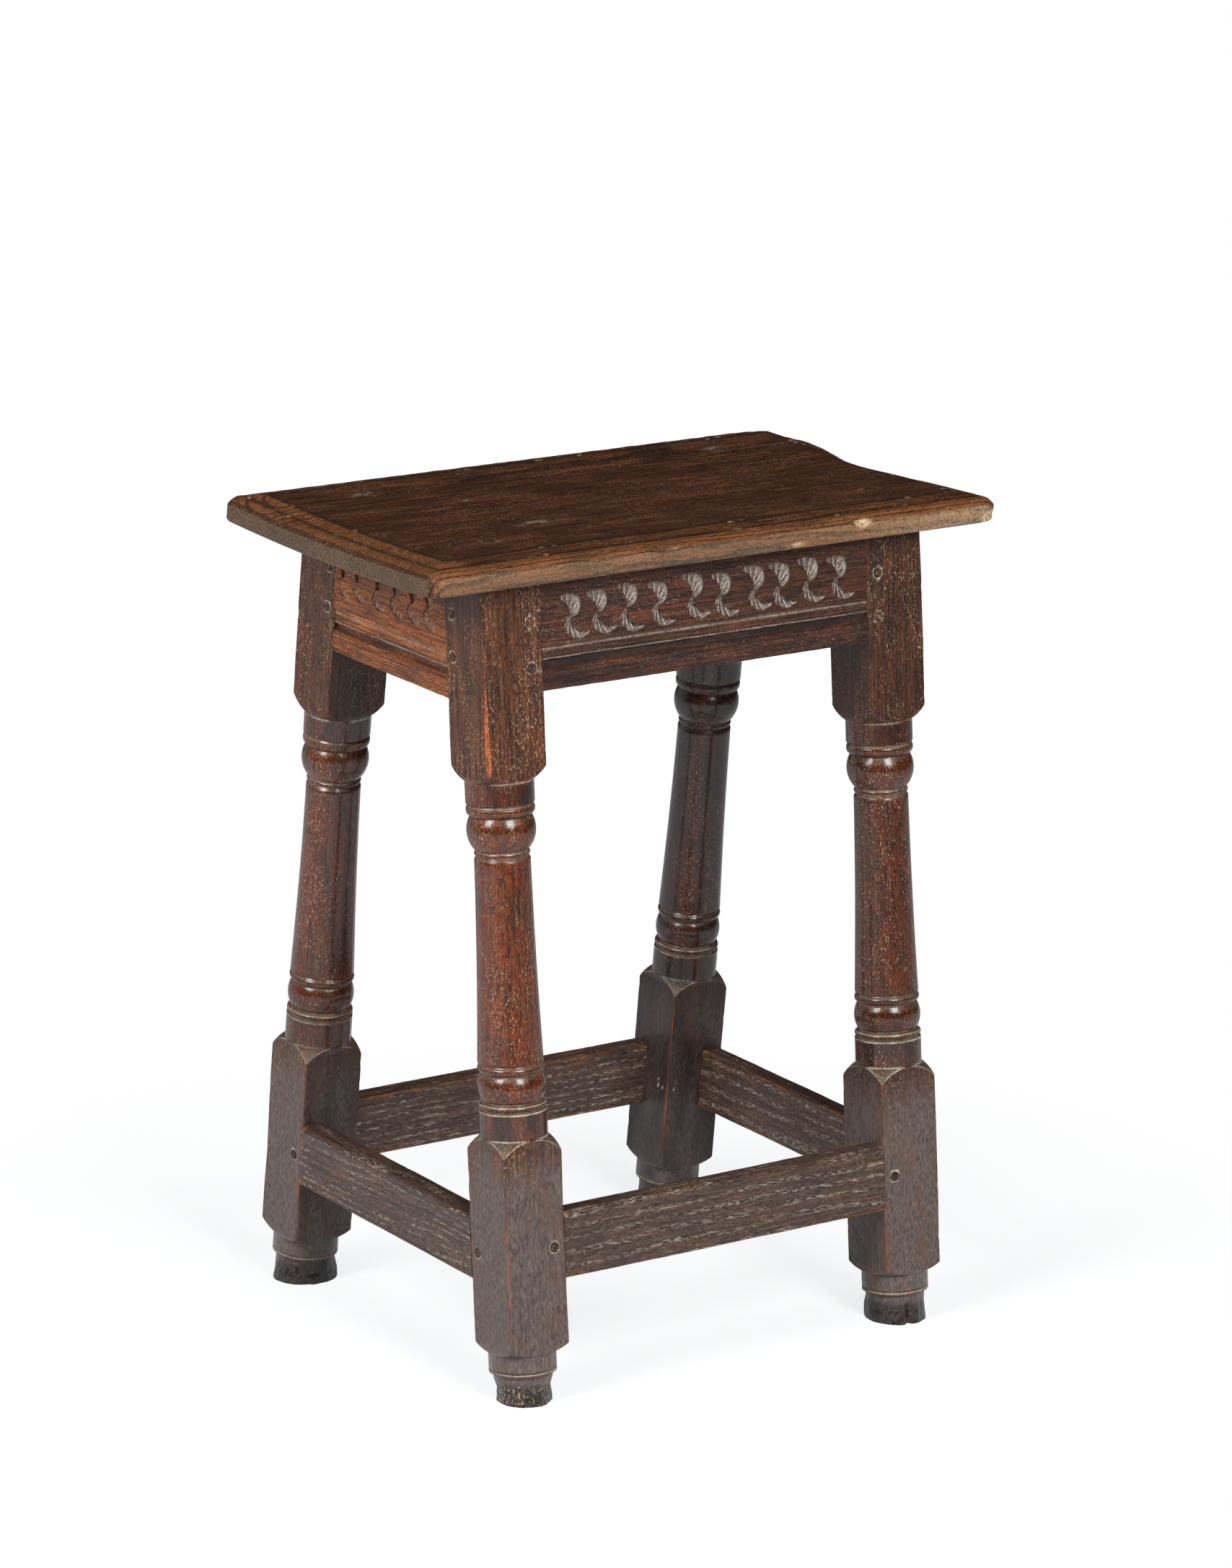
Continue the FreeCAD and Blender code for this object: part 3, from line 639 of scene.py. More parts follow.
def leg_blank(sizes):
    """A leg spun from its profile about its own axis, before its blocks are squared."""
    profile = [(radius, 0, -place) for place, radius in turned_profile()]
    blank = drawn("leg_blank", profile, False)
    edit(blank, (bpy.ops.mesh.spin, {"steps": sizes.leg_steps, "angle": 2 * math.pi, "center": (0, 0, 0),
                                     "axis": (0, 0, 1)}),
         (bpy.ops.mesh.remove_doubles, {"threshold": 0.000001}),
         (bpy.ops.mesh.fill_holes, {"sides": 0}),
         (bpy.ops.mesh.normals_make_consistent, {}))
    return blank


def square_and_wear(leg, seed, foot):
    """Square a leg's blocks to the bar that it was turned from, and wear it.

    foot gives how much of the foot's radius is lost, how deeply it is split, on which side,
    and how far it flares.
    """
    points = points_of(leg)
    radius = np.hypot(points[:, 0], points[:, 1])
    angle = np.arctan2(points[:, 1], points[:, 0])
    down = -points[:, 2]
    # Points gather towards the arrises, where the surface turns most
    angle = angle + 0.17 * np.sin(4 * angle)
    arris = np.floor(angle / (math.pi / 2)) * 40
    line = np.stack([arris, arris, down], axis=1)
    corner = 1.5 + 1.3 * wander(line, 38, seed) + 2.6 * np.maximum(wander(line, 7.5, seed + 3) - 0.25, 0)
    corner = np.clip(corner, 0.8, 3.4)
    side = square_distance(angle, HALF_LEG - 0.05, corner)
    gap = np.clip(1 - np.abs(radius - side) / 0.6, 0, 1)
    radius = np.minimum(radius, side) - gap ** 2 * 0.15
    turned = np.stack([radius * np.cos(angle), radius * np.sin(angle), -down], axis=1)
    radius += 0.16 * wander(turned, (18, 18, 60), seed + 5) + 0.05 * wander(turned, (1.5, 1.5, 12), seed + 6)
    # The foot: ragged end grain, worn in, split
    low = smooth_step(down, LEG_LENGTH - 17, LEG_LENGTH - 9)
    ragged = 0.9 * wander(turned, (5, 5, 16), seed + 7) + 0.5 * wander(turned, (2, 2, 5), seed + 8)
    split = np.exp(-((angle - foot[2]) / 0.09) ** 2)
    radius += low * (ragged - 0.6 - foot[0] * (1 + 0.3 * np.cos(angle - 1.0)) - foot[1] * split)
    low_end = smooth_step(down, LEG_LENGTH - 22, LEG_LENGTH - 4)
    radius += foot[3] * low_end * smooth_step(np.sin(angle), -0.7, 0.2)
    move_points(leg, np.stack([radius * np.cos(angle), radius * np.sin(angle), -down], axis=1))


def paint_leg(leg, stand, pegs, inner, seed):
    """Wear by place: rubbed arrises, dust with painted sheen on what faces up and round the pegs, dirt and
    painted shade in the quirks.

    inner gives the directions of the leg's inner sides and how much painted shade darkens them.
    """
    local = in_frame(points_of(leg), stand)
    normals = normals_of(leg)
    down = -local[:, 2]
    turn = bending(leg)
    turned = band(down, 131, 137, 378, 384) + smooth_step(down, 520, 526)
    arris = HALF_LEG - np.abs(local[:, :2]).min(axis=1)
    line = np.stack([np.sign(local[:, 0]) * 60, np.sign(local[:, 1]) * 60, down], axis=1)
    width = 0.9 + 0.9 * wander(line, (9, 9, 34), seed) + 0.6 * wander(line, (9, 9, 8), seed + 1)
    # The front left leg's outer arris is rubbed wide at the foot of its upper block
    if seed == 1:
        outer = (local[:, 0] < 0) & (local[:, 1] < 0)
        width += outer * band(down, 66, 90, 128, 140) * 3.6
    width = np.maximum(width, 0.1)
    rubbed = (1 - turned) * smooth_step(arris, width, 0.2 * width)
    edges = smooth_step(turn, 0.12, 0.45) * (0.5 + 0.5 * wander(local, 12, seed + 2))
    paint(leg, "worn", np.maximum(rubbed, 0.8 * edges))
    # The necks and the lower rings are painted darker, and painted shade darkens the inner sides
    necks = band(down, 136, 139, 151, 152.5) + band(down, 359.5, 361, 378, 384)
    darker_necks = necks * (0.55 + 0.7 * wander(local, (9, 9, 30), seed + 9))
    facing = np.maximum(normals[:, 0] * inner[0], normals[:, 1] * inner[1])
    inner_shade = inner[2] * smooth_step(facing, 0.55, 0.95) * (0.85 + 0.4 * wander(local, (9, 9, 40), seed + 7))
    rings = 0.3 * band(down, 322, 330, 378, 384) * (0.8 + wander(local, 8, seed + 8))
    # Dirt and painted shade in the quirks
    quirks = smooth_step(-turn, 0.15, 0.6)
    paint(leg, "dirt_and_shade", np.maximum.reduce([quirks, darker_necks, inner_shade, rings]))
    paint(leg, "turned", turned)
    # Dust, with a painted sheen on the faces turned up, lies as thin lines in the quirks, round the
    # shoulders' facets and round the pegs
    up = smooth_step(normals[:, 2], 0.3, 0.6) * (down < 545)
    line_share = 0.1 + 0.9 * smooth_step(np.abs(turn), 0.15, 0.4)
    scribed = near(down, 136.8, 0.5) * smooth_step(wander(local, 20, seed + 5), -0.1, 0.2)
    dust_and_sheen = np.maximum(up * line_share * (0.9 + 0.5 * wander(local, 7, seed + 4)), scribed)
    for where, axis in pegs:
        away = np.delete(local - where, 1 if axis == "y" else 0, axis=1)
        rim = np.abs(np.hypot(*away.T) - PEG_RADIUS) < 0.3
        dust_and_sheen[rim] = np.maximum(dust_and_sheen[rim], 0.6 + wander(local[rim], 5, seed + 6))
    paint(leg, "dust_and_sheen", dust_and_sheen)


def peg_holes(places):
    """Shallow round recesses where the pegs' heads show, as one cutter."""
    holes = []
    for where, axis in places:
        bpy.ops.mesh.primitive_cylinder_add(vertices=20, radius=PEG_RADIUS * MM, depth=6 * MM)
        turn = Matrix.Rotation(math.pi / 2, 4, "X" if axis == "y" else "Y")
        place(bpy.context.object, shifted(*where) @ turn)
        holes.append(bpy.context.object)
    return joined(holes)


def leg_peg_places(side, stretcher_top):
    """Peg heads on a leg in its own frame: on its front or back face, then on its end face."""
    def down(height):
        return (FRAME_HEIGHT - height) / math.cos(LEAN)

    across = side * (HALF_LEG - PEG_INSET)
    front = [((across, -HALF_LEG, -drop), "y")
             for drop in (31.5, 62.0, down(stretcher_top) + LONG_STRETCHER_HEIGHT / 2)]
    side_peg = down(STRETCHER_TOPS["left"] - SHORT_STRETCHER_HEIGHT / 2)
    end = [((-side * HALF_LEG, HALF_LEG - PEG_INSET, -drop), "x") for drop in (26.0, 54.0, side_peg)]
    return front + end


# Name, side in its wing, how the foot is worn, a tint that paints the leg lighter or darker as the light
# falls on it, and how much painted shade darkens the inner sides
LEGS = (("front_left", 1, (1.8, 0.0, 0.0, 0.0), "#b49a84", 0.25),
        ("front_right", -1, (0.0, 3.4, -1.75, 1.6), "#947c6c", 0.25),
        ("back_right", 1, (0.6, 0.0, 0.0, 0.0), "#94806f", 0.8),
        ("back_left", -1, (0.0, 0.8, 1.2, 3.2), "#ae9480", 0.65))


class STOOL_OT_legs(bpy.types.Operator):
    """Turn the four legs, lean them, and cut them level at the seat and the floor"""
    bl_idname = "stool.legs"
    bl_label = "Legs"

    def execute(self, context):
        blank = leg_blank(context.scene.stool_sizes)
        glow = {"glow": (*context.scene.stool_colours.leg_glow, 1)}
        for seed, (name, side, foot, glaze_and_light, inner_shade_amount) in enumerate(LEGS, 1):
            wing, end = name.split("_")
            toward = 1 if wing == "front" else -1
            leg = copied(blank, "turned_leg_" + name)
            square_and_wear(leg, seed, foot)
            pegs = leg_peg_places(side, STRETCHER_TOPS[wing])
            combine(leg, peg_holes(pegs), "DIFFERENCE")
            stand = WINGS[wing] @ shifted(-side * LEG_AXIS_X, 0, 0)
            place(leg, stand)
            trim(leg, (0, 0, FRAME_HEIGHT), (0, 0, 1))
            trim(leg, (0, 0, 0), (0, 0, -1))
            paint_leg(leg, stand, pegs, (1 if end == "left" else -1, toward, inner_shade_amount), seed)
            look = LEG_LOOK | glow | {"glaze_and_light": glaze_and_light, "turn": (toward * math.degrees(LEAN), 0, 0),
                                      "heart": (60 - 25 * seed, 35 * seed, 0)}
            # Only the front left foot shows its ochre end grain
            if name == "front_left":
                look["foot"] = "#8a7450"
            finish(leg, old_oak("Waxed oak, %s %s leg" % (wing, end), look))
            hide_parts("leg_" + name)
        bpy.data.objects.remove(blank)
        return {"FINISHED"}


# Friezes and stretchers

def drawn_out(name, section, reach, step):
    """Bar drawn out along x from a closed section of (y, z) points, in steps, and closed at its ends."""
    bar = drawn(name, [(-reach, y, z) for y, z in section], True)
    modify(bar, "SCREW", axis="X", angle=0, screw_offset=2 * reach * MM, steps=round(2 * reach / step),
           use_smooth_shade=False, use_normal_calculate=False)
    edit(bar, (bpy.ops.mesh.fill_holes, {"sides": 0}), (bpy.ops.mesh.normals_make_consistent, {}))
    return bar


def dense(section, step):
    """Closed section with points no further apart than a step."""
    points = []
    for (ay, az), (by, bz) in zip(section, section[1:] + section[:1]):
        count = max(1, math.ceil(math.hypot(by - ay, bz - az) / step))
        points += [(ay + (by - ay) * index / count, az + (bz - az) * index / count) for index in range(count)]
    return points


def frieze_section(height):
    """Carved ground, quirk, bead, fillet, hollow and plain band, as (depth, height) points."""
    top = MOULDING_RISE - height
    section = [(0, 0), (0, top), (1.2, top - 0.7)]
    section += [(y, z) for z, y in arc((top - 0.7, 1.2), (top - 3.9, 0.1), (top - 7.1, 1.2), 0.5)]
    section += [(0.5, top - 7.3), (0.4, top - 7.7), (0.5, top - 8.3), (2.6, top - 8.9)]
    section += [(y, z) for z, y in arc((top - 8.9, 2.6), (top - 12.2, 2.1), (top - 15.5, 0.0), 0.9)]
    return section + [(0, -height), (20, -height), (20, 0)]


def scoop_tool(name, outline, bowl, coin_x):
    """Cutter for one scoop of the S, face up at z = 0: a crescent beside a coin, floored by gouge strokes."""
    edge = [outline[0]] + arc(*outline[:3], 0.7) + arc(*outline[2:], 0.7)
    above = (GOUGE_SWEEP - SCOOP_DEPTH) * MM
    bpy.ops.mesh.primitive_uv_sphere_add(segments=96, ring_count=72, radius=GOUGE_SWEEP * MM,
                                         location=(bowl[0] * MM, bowl[1] * MM, above))
    scoop = bpy.context.object
    scoop.name = name
    bpy.ops.object.transform_apply()
    # Gouge strokes fan out from the pinch, each a little deeper than the bowl that they clear
    stroke_height = 3.4
    for share in (0.12, 0.27, 0.42, 0.57, 0.72, 0.87):
        x, y = edge[round(share * (len(edge) - 1))]
        half = 0.56 * math.hypot(x, y)
        off_bowl = math.hypot(0.56 * x - bowl[0], 0.56 * y - bowl[1])
        deep = SCOOP_DEPTH - GOUGE_SWEEP + math.sqrt(GOUGE_SWEEP ** 2 - off_bowl ** 2) + 0.5
        bpy.ops.mesh.primitive_uv_sphere_add(segments=24, ring_count=16, radius=1 * MM)
        stroke = bpy.context.object
        place(stroke, shifted(0.56 * x, 0.56 * y, stroke_height - deep)
              @ Matrix.Rotation(math.atan2(y, x), 4, "Z") @ Matrix.Diagonal((half, 1.5, stroke_height, 1)))
        combine(scoop, stroke, "UNION")
    crescent = drawn("crescent", [(x, y, -8) for x, y in edge], True)
    edit(crescent, (bpy.ops.mesh.edge_face_add, {}),
         (bpy.ops.mesh.extrude_region_move, {"TRANSFORM_OT_translate": {"value": (0, 0, 14 * MM)}}),
         (bpy.ops.mesh.normals_make_consistent, {}))
    combine(scoop, crescent, "INTERSECT")
    bpy.ops.mesh.primitive_cylinder_add(vertices=72, radius=COIN_RADIUS * MM, depth=30 * MM,
                                        location=(coin_x * MM, 1.2 * MM, 0))
    combine(scoop, bpy.context.object, "DIFFERENCE")
    return scoop


def carve(rail, tools, places, scale, slant, seed):
    """Cut a row of S motifs in a rail's front, each placed by eye and leaning up to a slant in degrees."""
    by_eye = random.Random(seed)
    upright = Matrix.Rotation(math.pi / 2, 4, "X")
    for tool in tools:
        cutters = []
        for x in places:
            lean = Matrix.Rotation(math.radians(by_eye.uniform(-slant, slant)), 4, "Y")
            size = Matrix.Scale(scale * by_eye.uniform(0.95, 1.03), 4)
            cutters.append(copied(tool, "cutter"))
            drop = -CARVING_DROP + by_eye.uniform(-0.8, 0.8)
            place(cutters[-1], shifted(x, by_eye.uniform(-0.4, 0.3), drop) @ lean @ upright @ size)
        combine(rail, joined(cutters), "DIFFERENCE")


def roughen_rail(rail, seed, amount):
    """Hand-planed faces are never quite flat, and arrises lose splinters."""
    points = points_of(rail)
    normals = normals_of(rail)
    turn = np.maximum(bending(rail, 1), 0)
    lift = amount * wander(points, (45, 12, 14), seed) + 0.5 * amount * wander(points, (9, 5, 5), seed + 1)
    nick = smooth_step(turn, 0.15, 0.6) * np.maximum(wander(points, (9, 9, 9), seed + 2), -0.2) * 0.9
    move_points(rail, points + normals * (lift - nick)[:, None])


def paint_frieze(rail, top, shade_amount, seed):
    """Worn arrises and bead; dust, painted highlights and painted shade in the scoops; pale lines on the
    moulding; in the rail's own frame.

    top is the place of the moulding's upper quirk, and shade_amount how much painted shade darkens the plain
    band below it, the walls under the coins and the ground under the seat.
    """
    points = points_of(rail)
    paint_wear(rail, seed, (0.15, 0.7))
    depth = points[:, 1]
    front = depth < 8
    below = top - points[:, 2]
    scoops = smooth_step(depth, 0.3, 1.2) * (below < -0.5)
    # The scoops' right ends face the light and get painted highlights, and painted shade darkens the walls
    # under the coins
    sideways = normals_of(rail)[:, 0]
    under_coins = scoops * smooth_step(sideways, 0.4, 0.75) * (0.25 + 0.75 * shade_amount)
    mottled_and_lit = 0.35 + 0.6 * smooth_step(-sideways, -0.12, 0.2)
    mottled_and_lit += 0.7 * wander(points, (2.4, 2.4, 2.4), seed + 1)
    mottled_and_lit = np.clip(mottled_and_lit, 0.1, 1) * (1 - 0.95 * under_coins)
    # Walls that face the light are painted highlights, laid with the breaks' pale colour
    paint(rail, "broken_and_highlit", scoops * smooth_step(-sideways, 0.3, 0.55))
    # Pale lines on the bead's upper edge and on the fillet: dust, and painted highlights on those arrises
    uneven = 0.75 + 0.6 * wander(points, (34, 4, 4), seed + 2)
    lines = 1.3 * near(below, 1.1, 0.7) + 1.1 * near(below, 7.8, 0.6)
    paint(rail, "dust_and_sheen", front * np.maximum(scoops * mottled_and_lit, lines * (depth < 1.6) * uneven))
    # The hollow and the band below it are painted darker, the band more so on shaded rails, and painted
    # shadow darkens the ground close under the seat
    hollow = band(below, 8.1, 8.5, 13.0, 15.8) * uneven
    lower_band = (0.15 + 0.4 * shade_amount) * smooth_step(below, 14, 17) * uneven
    under_seat = 0.7 * smooth_step(below, -42, -48) * shade_amount * uneven
    # Dirt and painted shade in the quirks
    quirks = smooth_step(-bending(rail), 0.12, 0.5) * (1 - np.minimum(lines, 1))
    paint(rail, "dirt_and_shade", front * np.maximum.reduce([quirks, under_coins, hollow, lower_band, under_seat]))


def leg_inner_y(down):
    """Distance from the middle plane to a leg's inner face, at a distance below the seat."""
    return LEG_AXIS_Y_TOP + LEG_SPLAY * down / FRAME_HEIGHT - HALF_LEG / math.cos(LEAN)


def rail_bar(name, piece, section, top, step):
    """A rail's bar between two legs, below a height; a short rail's ends follow the legs' lean."""
    if name in LONG_RAILS:
        return drawn_out(piece, section, INNER_HALF_X + RAIL_OVERLAP, step)
    half = leg_inner_y(FRAME_HEIGHT - top)
    bar = drawn_out(piece, section, half + 12, step)
    for end in (-1, 1):
        trim(bar, (end * (half + RAIL_OVERLAP), 0, 0), (end * math.cos(LEAN), 0, math.sin(LEAN)))
    return bar


def stand_rail(rail, name, inset, top):
    """Stand a rail between its legs, its top at a height and its face set back from theirs."""
    if name in LONG_RAILS:
        drop = (FRAME_HEIGHT - top) / math.cos(LEAN)
        place(rail, WINGS[name] @ shifted(0, -HALF_LEG + inset, -drop))
    else:
        quarter = Matrix.Rotation(-math.pi / 2 if name == "left" else math.pi / 2, 4, "Z")
        place(rail, quarter @ shifted(0, -FRAME_HALF_X + inset, top))


class STOOL_OT_friezes(bpy.types.Operator):
    """Run the friezes' mouldings and carve their rows of S scoops"""
    bl_idname = "stool.friezes"
    bl_label = "Friezes"

    def execute(self, context):
        sizes, colours = context.scene.stool_sizes, context.scene.stool_colours
        tools = (scoop_tool("scoop_upper", UPPER_SCOOP, (2.5, 8.0), -12.6),
                 scoop_tool("scoop_lower", LOWER_SCOOP, (8.0, -6.0), 12.6))
        long_shares = (-0.823, -0.66, -0.484, -0.292, -0.083, 0.093, 0.296, 0.453, 0.634, 0.819)
        short_shares = (-0.914, -0.649, -0.273, 0.059, 0.369, 0.656)
        for seed, name in enumerate(("front", "back", "left", "right")):
            if name in LONG_RAILS:
                height, scale, grain = LONG_FRIEZE_HEIGHT, 1.0, (0, 90, 0)
                places = [share * INNER_HALF_X for share in long_shares]
            else:
                height, scale, grain = SHORT_FRIEZE_HEIGHT, 0.85, (90, 0, 0)
                places = [share * leg_inner_y(CARVING_DROP) for share in short_shares]
            section = dense(frieze_section(height), 1.8)
            rail = rail_bar(name, "carved_frieze_" + name, section, FRAME_HEIGHT, 2.0)
            carve(rail, tools, places, scale, sizes.scoop_slant, 30 + seed)
            # The left frieze, lit from its side, takes the least painted shade
            paint_frieze(rail, MOULDING_RISE - height, 0.0 if name == "left" else 1.0, seed + 11)
            roughen_rail(rail, seed + 21, 0.12)
            stand_rail(rail, name, FRIEZE_INSET, FRAME_HEIGHT)
            trim(rail, (0, 0, FRAME_HEIGHT), (0, 0, 1))
            # The left frieze takes the lit copy of the look: painted light
            if name == "left":
                look = LIT_LEFT_FRIEZE_LOOK | {"mid": (*colours.lit_left_frieze_oak, 1)}
            else:
                look = FRIEZE_LOOK | {"mid": (*colours.frieze_oak, 1)}
            look |= {"turn": grain, "heart": (40 + 30 * seed, -60, 0)}
            finish(rail, old_oak("Waxed oak, %s frieze" % name, look))
            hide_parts("frieze_" + name)
        for tool in tools:
            bpy.data.objects.remove(tool)
        return {"FINISHED"}


def stretcher_section(height):
    """Section below the top, with the outer top arris worn round by feet."""
    section = [(y, z) for z, y in arc((-4.2, 0), (-1.1, 1.0), (0, 3.6), 0.7)]
    section += [(16.2, 0), (17, -0.8), (17, 0.8 - height), (16.2, -height), (1.0, -height), (0, 1 - height)]
    return section + [(0, -4.2)]


class STOOL_OT_stretchers(bpy.types.Operator):
    """Make the four low stretchers, worn along their tops"""
    bl_idname = "stool.stretchers"
    bl_label = "Stretchers"

    def execute(self, context):
        oak = {"mid": (*context.scene.stool_colours.stretcher_oak, 1)}
        for seed, (name, top) in enumerate(STRETCHER_TOPS.items()):
            is_long = name in LONG_RAILS
            height = LONG_STRETCHER_HEIGHT if is_long else SHORT_STRETCHER_HEIGHT
            section = dense(stretcher_section(height), 2.2)
            rail = rail_bar(name, "worn_stretcher_" + name, section, top, 2.6)
            roughen_rail(rail, seed + 41, 0.22)
            paint_wear(rail, seed + 45, (0.06, 0.3))
            stand_rail(rail, name, STRETCHER_INSET, top)
            look = STRETCHER_LOOK | oak | {"turn": (0, 90, 0) if is_long else (90, 0, 0),
                                           "heart": (25 + 40 * seed, -45, 0)}
            # The front stretcher's pores are open all over
            if name == "front":
                look |= {"even_pores": 0.35, "glaze_and_light": "#dacac0"}
            finish(rail, old_oak("Greyed oak, %s stretcher" % name, look))
            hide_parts("stretcher_" + name)
        return {"FINISHED"}


# Seat

def seat_insets():
    """Steps of the moulding from the edge inwards: width and rise of each."""
    nosing = [(0.0, 8.5)] + arc((0.0, 8.5), (3.4, 13.6), (11.0, 16.6), 1.0)
    steps = [(b[0] - a[0], b[1] - a[1]) for a, b in zip(nosing, nosing[1:])]
    incised = [(0.8, -0.9), (0.8, 0.9)]
    sloping = [(9.5 / 9, (SEAT_THICKNESS - 16.6) / 9)] * 9
    return steps + incised + sloping + incised


def moulded_board():
    """The board: stepped up from its underside by extrusions and insets, then gridded."""
    bpy.ops.mesh.primitive_plane_add(size=1)
    board = bpy.context.object
    board.name = "moulded_seat"
    board.scale = ((SEAT_LENGTH - 3) * MM, (SEAT_DEPTH - 3) * MM, 1)
    bpy.ops.object.transform_apply(scale=True)
    bpy.ops.object.mode_set(mode="EDIT")
    bpy.ops.mesh.select_all(action="SELECT")
    bpy.ops.mesh.extrude_region_move(TRANSFORM_OT_translate={"value": (0, 0, 1.5 * MM)})
    bpy.ops.transform.resize(value=(SEAT_LENGTH / (SEAT_LENGTH - 3), SEAT_DEPTH / (SEAT_DEPTH - 3), 1),
                             center_override=(0, 0, 0))
    for rise in (1.8, 1.8, 1.7, 1.7):
        bpy.ops.mesh.extrude_region_move(TRANSFORM_OT_translate={"value": (0, 0, rise * MM)})
    for width, rise in seat_insets():
        bpy.ops.mesh.inset(thickness=width * MM, depth=rise * MM, use_even_offset=True)
    bpy.ops.mesh.select_all(action="SELECT")
    bpy.ops.mesh.normals_make_consistent()
    bpy.ops.object.mode_set(mode="OBJECT")
    for axis, half in ((0, SEAT_LENGTH / 2), (1, SEAT_DEPTH / 2)):
        near_corner = [half - step for step in (1.5, 3, 4.5, 6, 7.5, 9, 10.5, 12, 14, 16, 18, 20, 22)]
        inner = list(np.arange(-half + 26, half - 25, 3.2))
        direction = [0, 0, 0]
        direction[axis] = 1
        for cut in near_corner + [-value for value in near_corner] + inner:
            edit(board, (bpy.ops.mesh.bisect, {"plane_co": [cut * MM * share for share in direction],
                                               "plane_no": direction}))
    return board


def round_corners(points, radius=12.0):
    """Draw the plan's corners in to a radius, so that the moulding runs round them."""
    limit = np.array([SEAT_LENGTH / 2 - radius, SEAT_DEPTH / 2 - radius])
    sign = np.sign(points[:, :2])
    out = np.maximum(np.abs(points[:, :2]) - limit, 0)
    in_corner = (out > 0).all(axis=1)
    largest = out.max(axis=1)
    length = np.maximum(np.hypot(out[:, 0], out[:, 1]), 1e-9)
    rounded = out * (largest / length)[:, None]
    moved = points.copy()
    moved[in_corner, :2] = (sign * (limit + rounded))[in_corner]
    return moved


def edge_distance(points):
    """How far in from the plan's edge each point lies."""
    return np.minimum(SEAT_LENGTH / 2 - np.abs(points[:, 0]), SEAT_DEPTH / 2 - np.abs(points[:, 1]))


# Splinters that are gone: middle, with its height above the underside, reach along each axis, and share
# of the chip depth
CHIPS = [(np.array(centre), np.array(reach), share) for centre, reach, share in (
    ((114, -134, 12), (8, 6, 4), 0.8), ((223, -132, 3), (9, 12, 5), 1.2), ((-228, -134, 3), (3, 5, 5), 0.4),
    ((60, -134, 3), (9, 6, 3), 0.5), ((-40, -134, 12), (12, 6, 3), 0.4))]
# Scuffs in the field: place, then half width along and across
SCUFFS = (
    (141, 83, 7, 5), (-149, -77, 6, 5), (-149, 84, 8, 6),
    (157, -73, 8, 4), (-91, -42, 14, 6), (-95, 37, 3, 3))


def broken_share(points):
    """How much of the edge is broken off at each point."""
    return sum(
        share * np.exp(-((points - centre) / reach) ** 2).prod(axis=1) for centre, reach, share in CHIPS)


def cup(points):
    """How high the cupped underside lies at each point."""
    return SEAT_UNDER_MIDDLE + points[:, 1] ** 2 / (2 * CUP_RADIUS)


def wear_seat(board, sizes):
    """Round the corners, wear the surface and the ends, cup the board, and bed it flat on the frame."""
    points = points_of(board)
    inward = edge_distance(points)
    points = round_corners(points)
    upper = smooth_step(points[:, 2], 1.0, 8.0)
    wave = 0.22 * wander(points, (60, 40, 40), 61) + 0.3 * wander(points, (7, 7, 5), 62) * (inward < 12)
    points[:, 2] += upper * wave - 0.25 * upper * (inward > 26)
    # The right end is worn down in its middle, where the stool was always lifted, and at its back corner
    back_corner = 0.6 * smooth_step(points[:, 1], 74, SEAT_DEPTH / 2)
    worn_end = smooth_step(points[:, 0], SEAT_LENGTH / 2 - 34, SEAT_LENGTH / 2 - 2)
    points[:, 2] -= sizes.end_wear * upper * worn_end * np.maximum(near(points[:, 1], 8, 42), back_corner)
    points[:, 2] = np.minimum(points[:, 2], SEAT_THICKNESS - 0.15)
    loss = (inward < 0.5) * (0.35 + 0.35 * wander(points, (9, 9, 6), 63))
    for axis, half in ((0, SEAT_LENGTH / 2), (1, SEAT_DEPTH / 2)):
        points[:, axis] -= np.sign(points[:, axis]) * loss * (half - np.abs(points[:, axis]) < 12)
    # Splinters are gone from the front edge and from both front corners
    broken = np.minimum(broken_share(points), 1)
    points[:, 1] += sizes.chip_depth * broken * (points[:, 1] < -SEAT_DEPTH / 2 + 14)
    points[:, 2] += cup(points)
    move_points(board, points)
    bpy.ops.mesh.primitive_cube_add(size=1)
    frame_block = bpy.context.object
    place(frame_block, shifted(0, 0, FRAME_HEIGHT - 20)
          @ Matrix.Diagonal((2 * FRAME_HALF_X * MM, 2 * FRAME_HALF_Y * MM, 40 * MM, 1)))
    combine(board, frame_block, "DIFFERENCE")


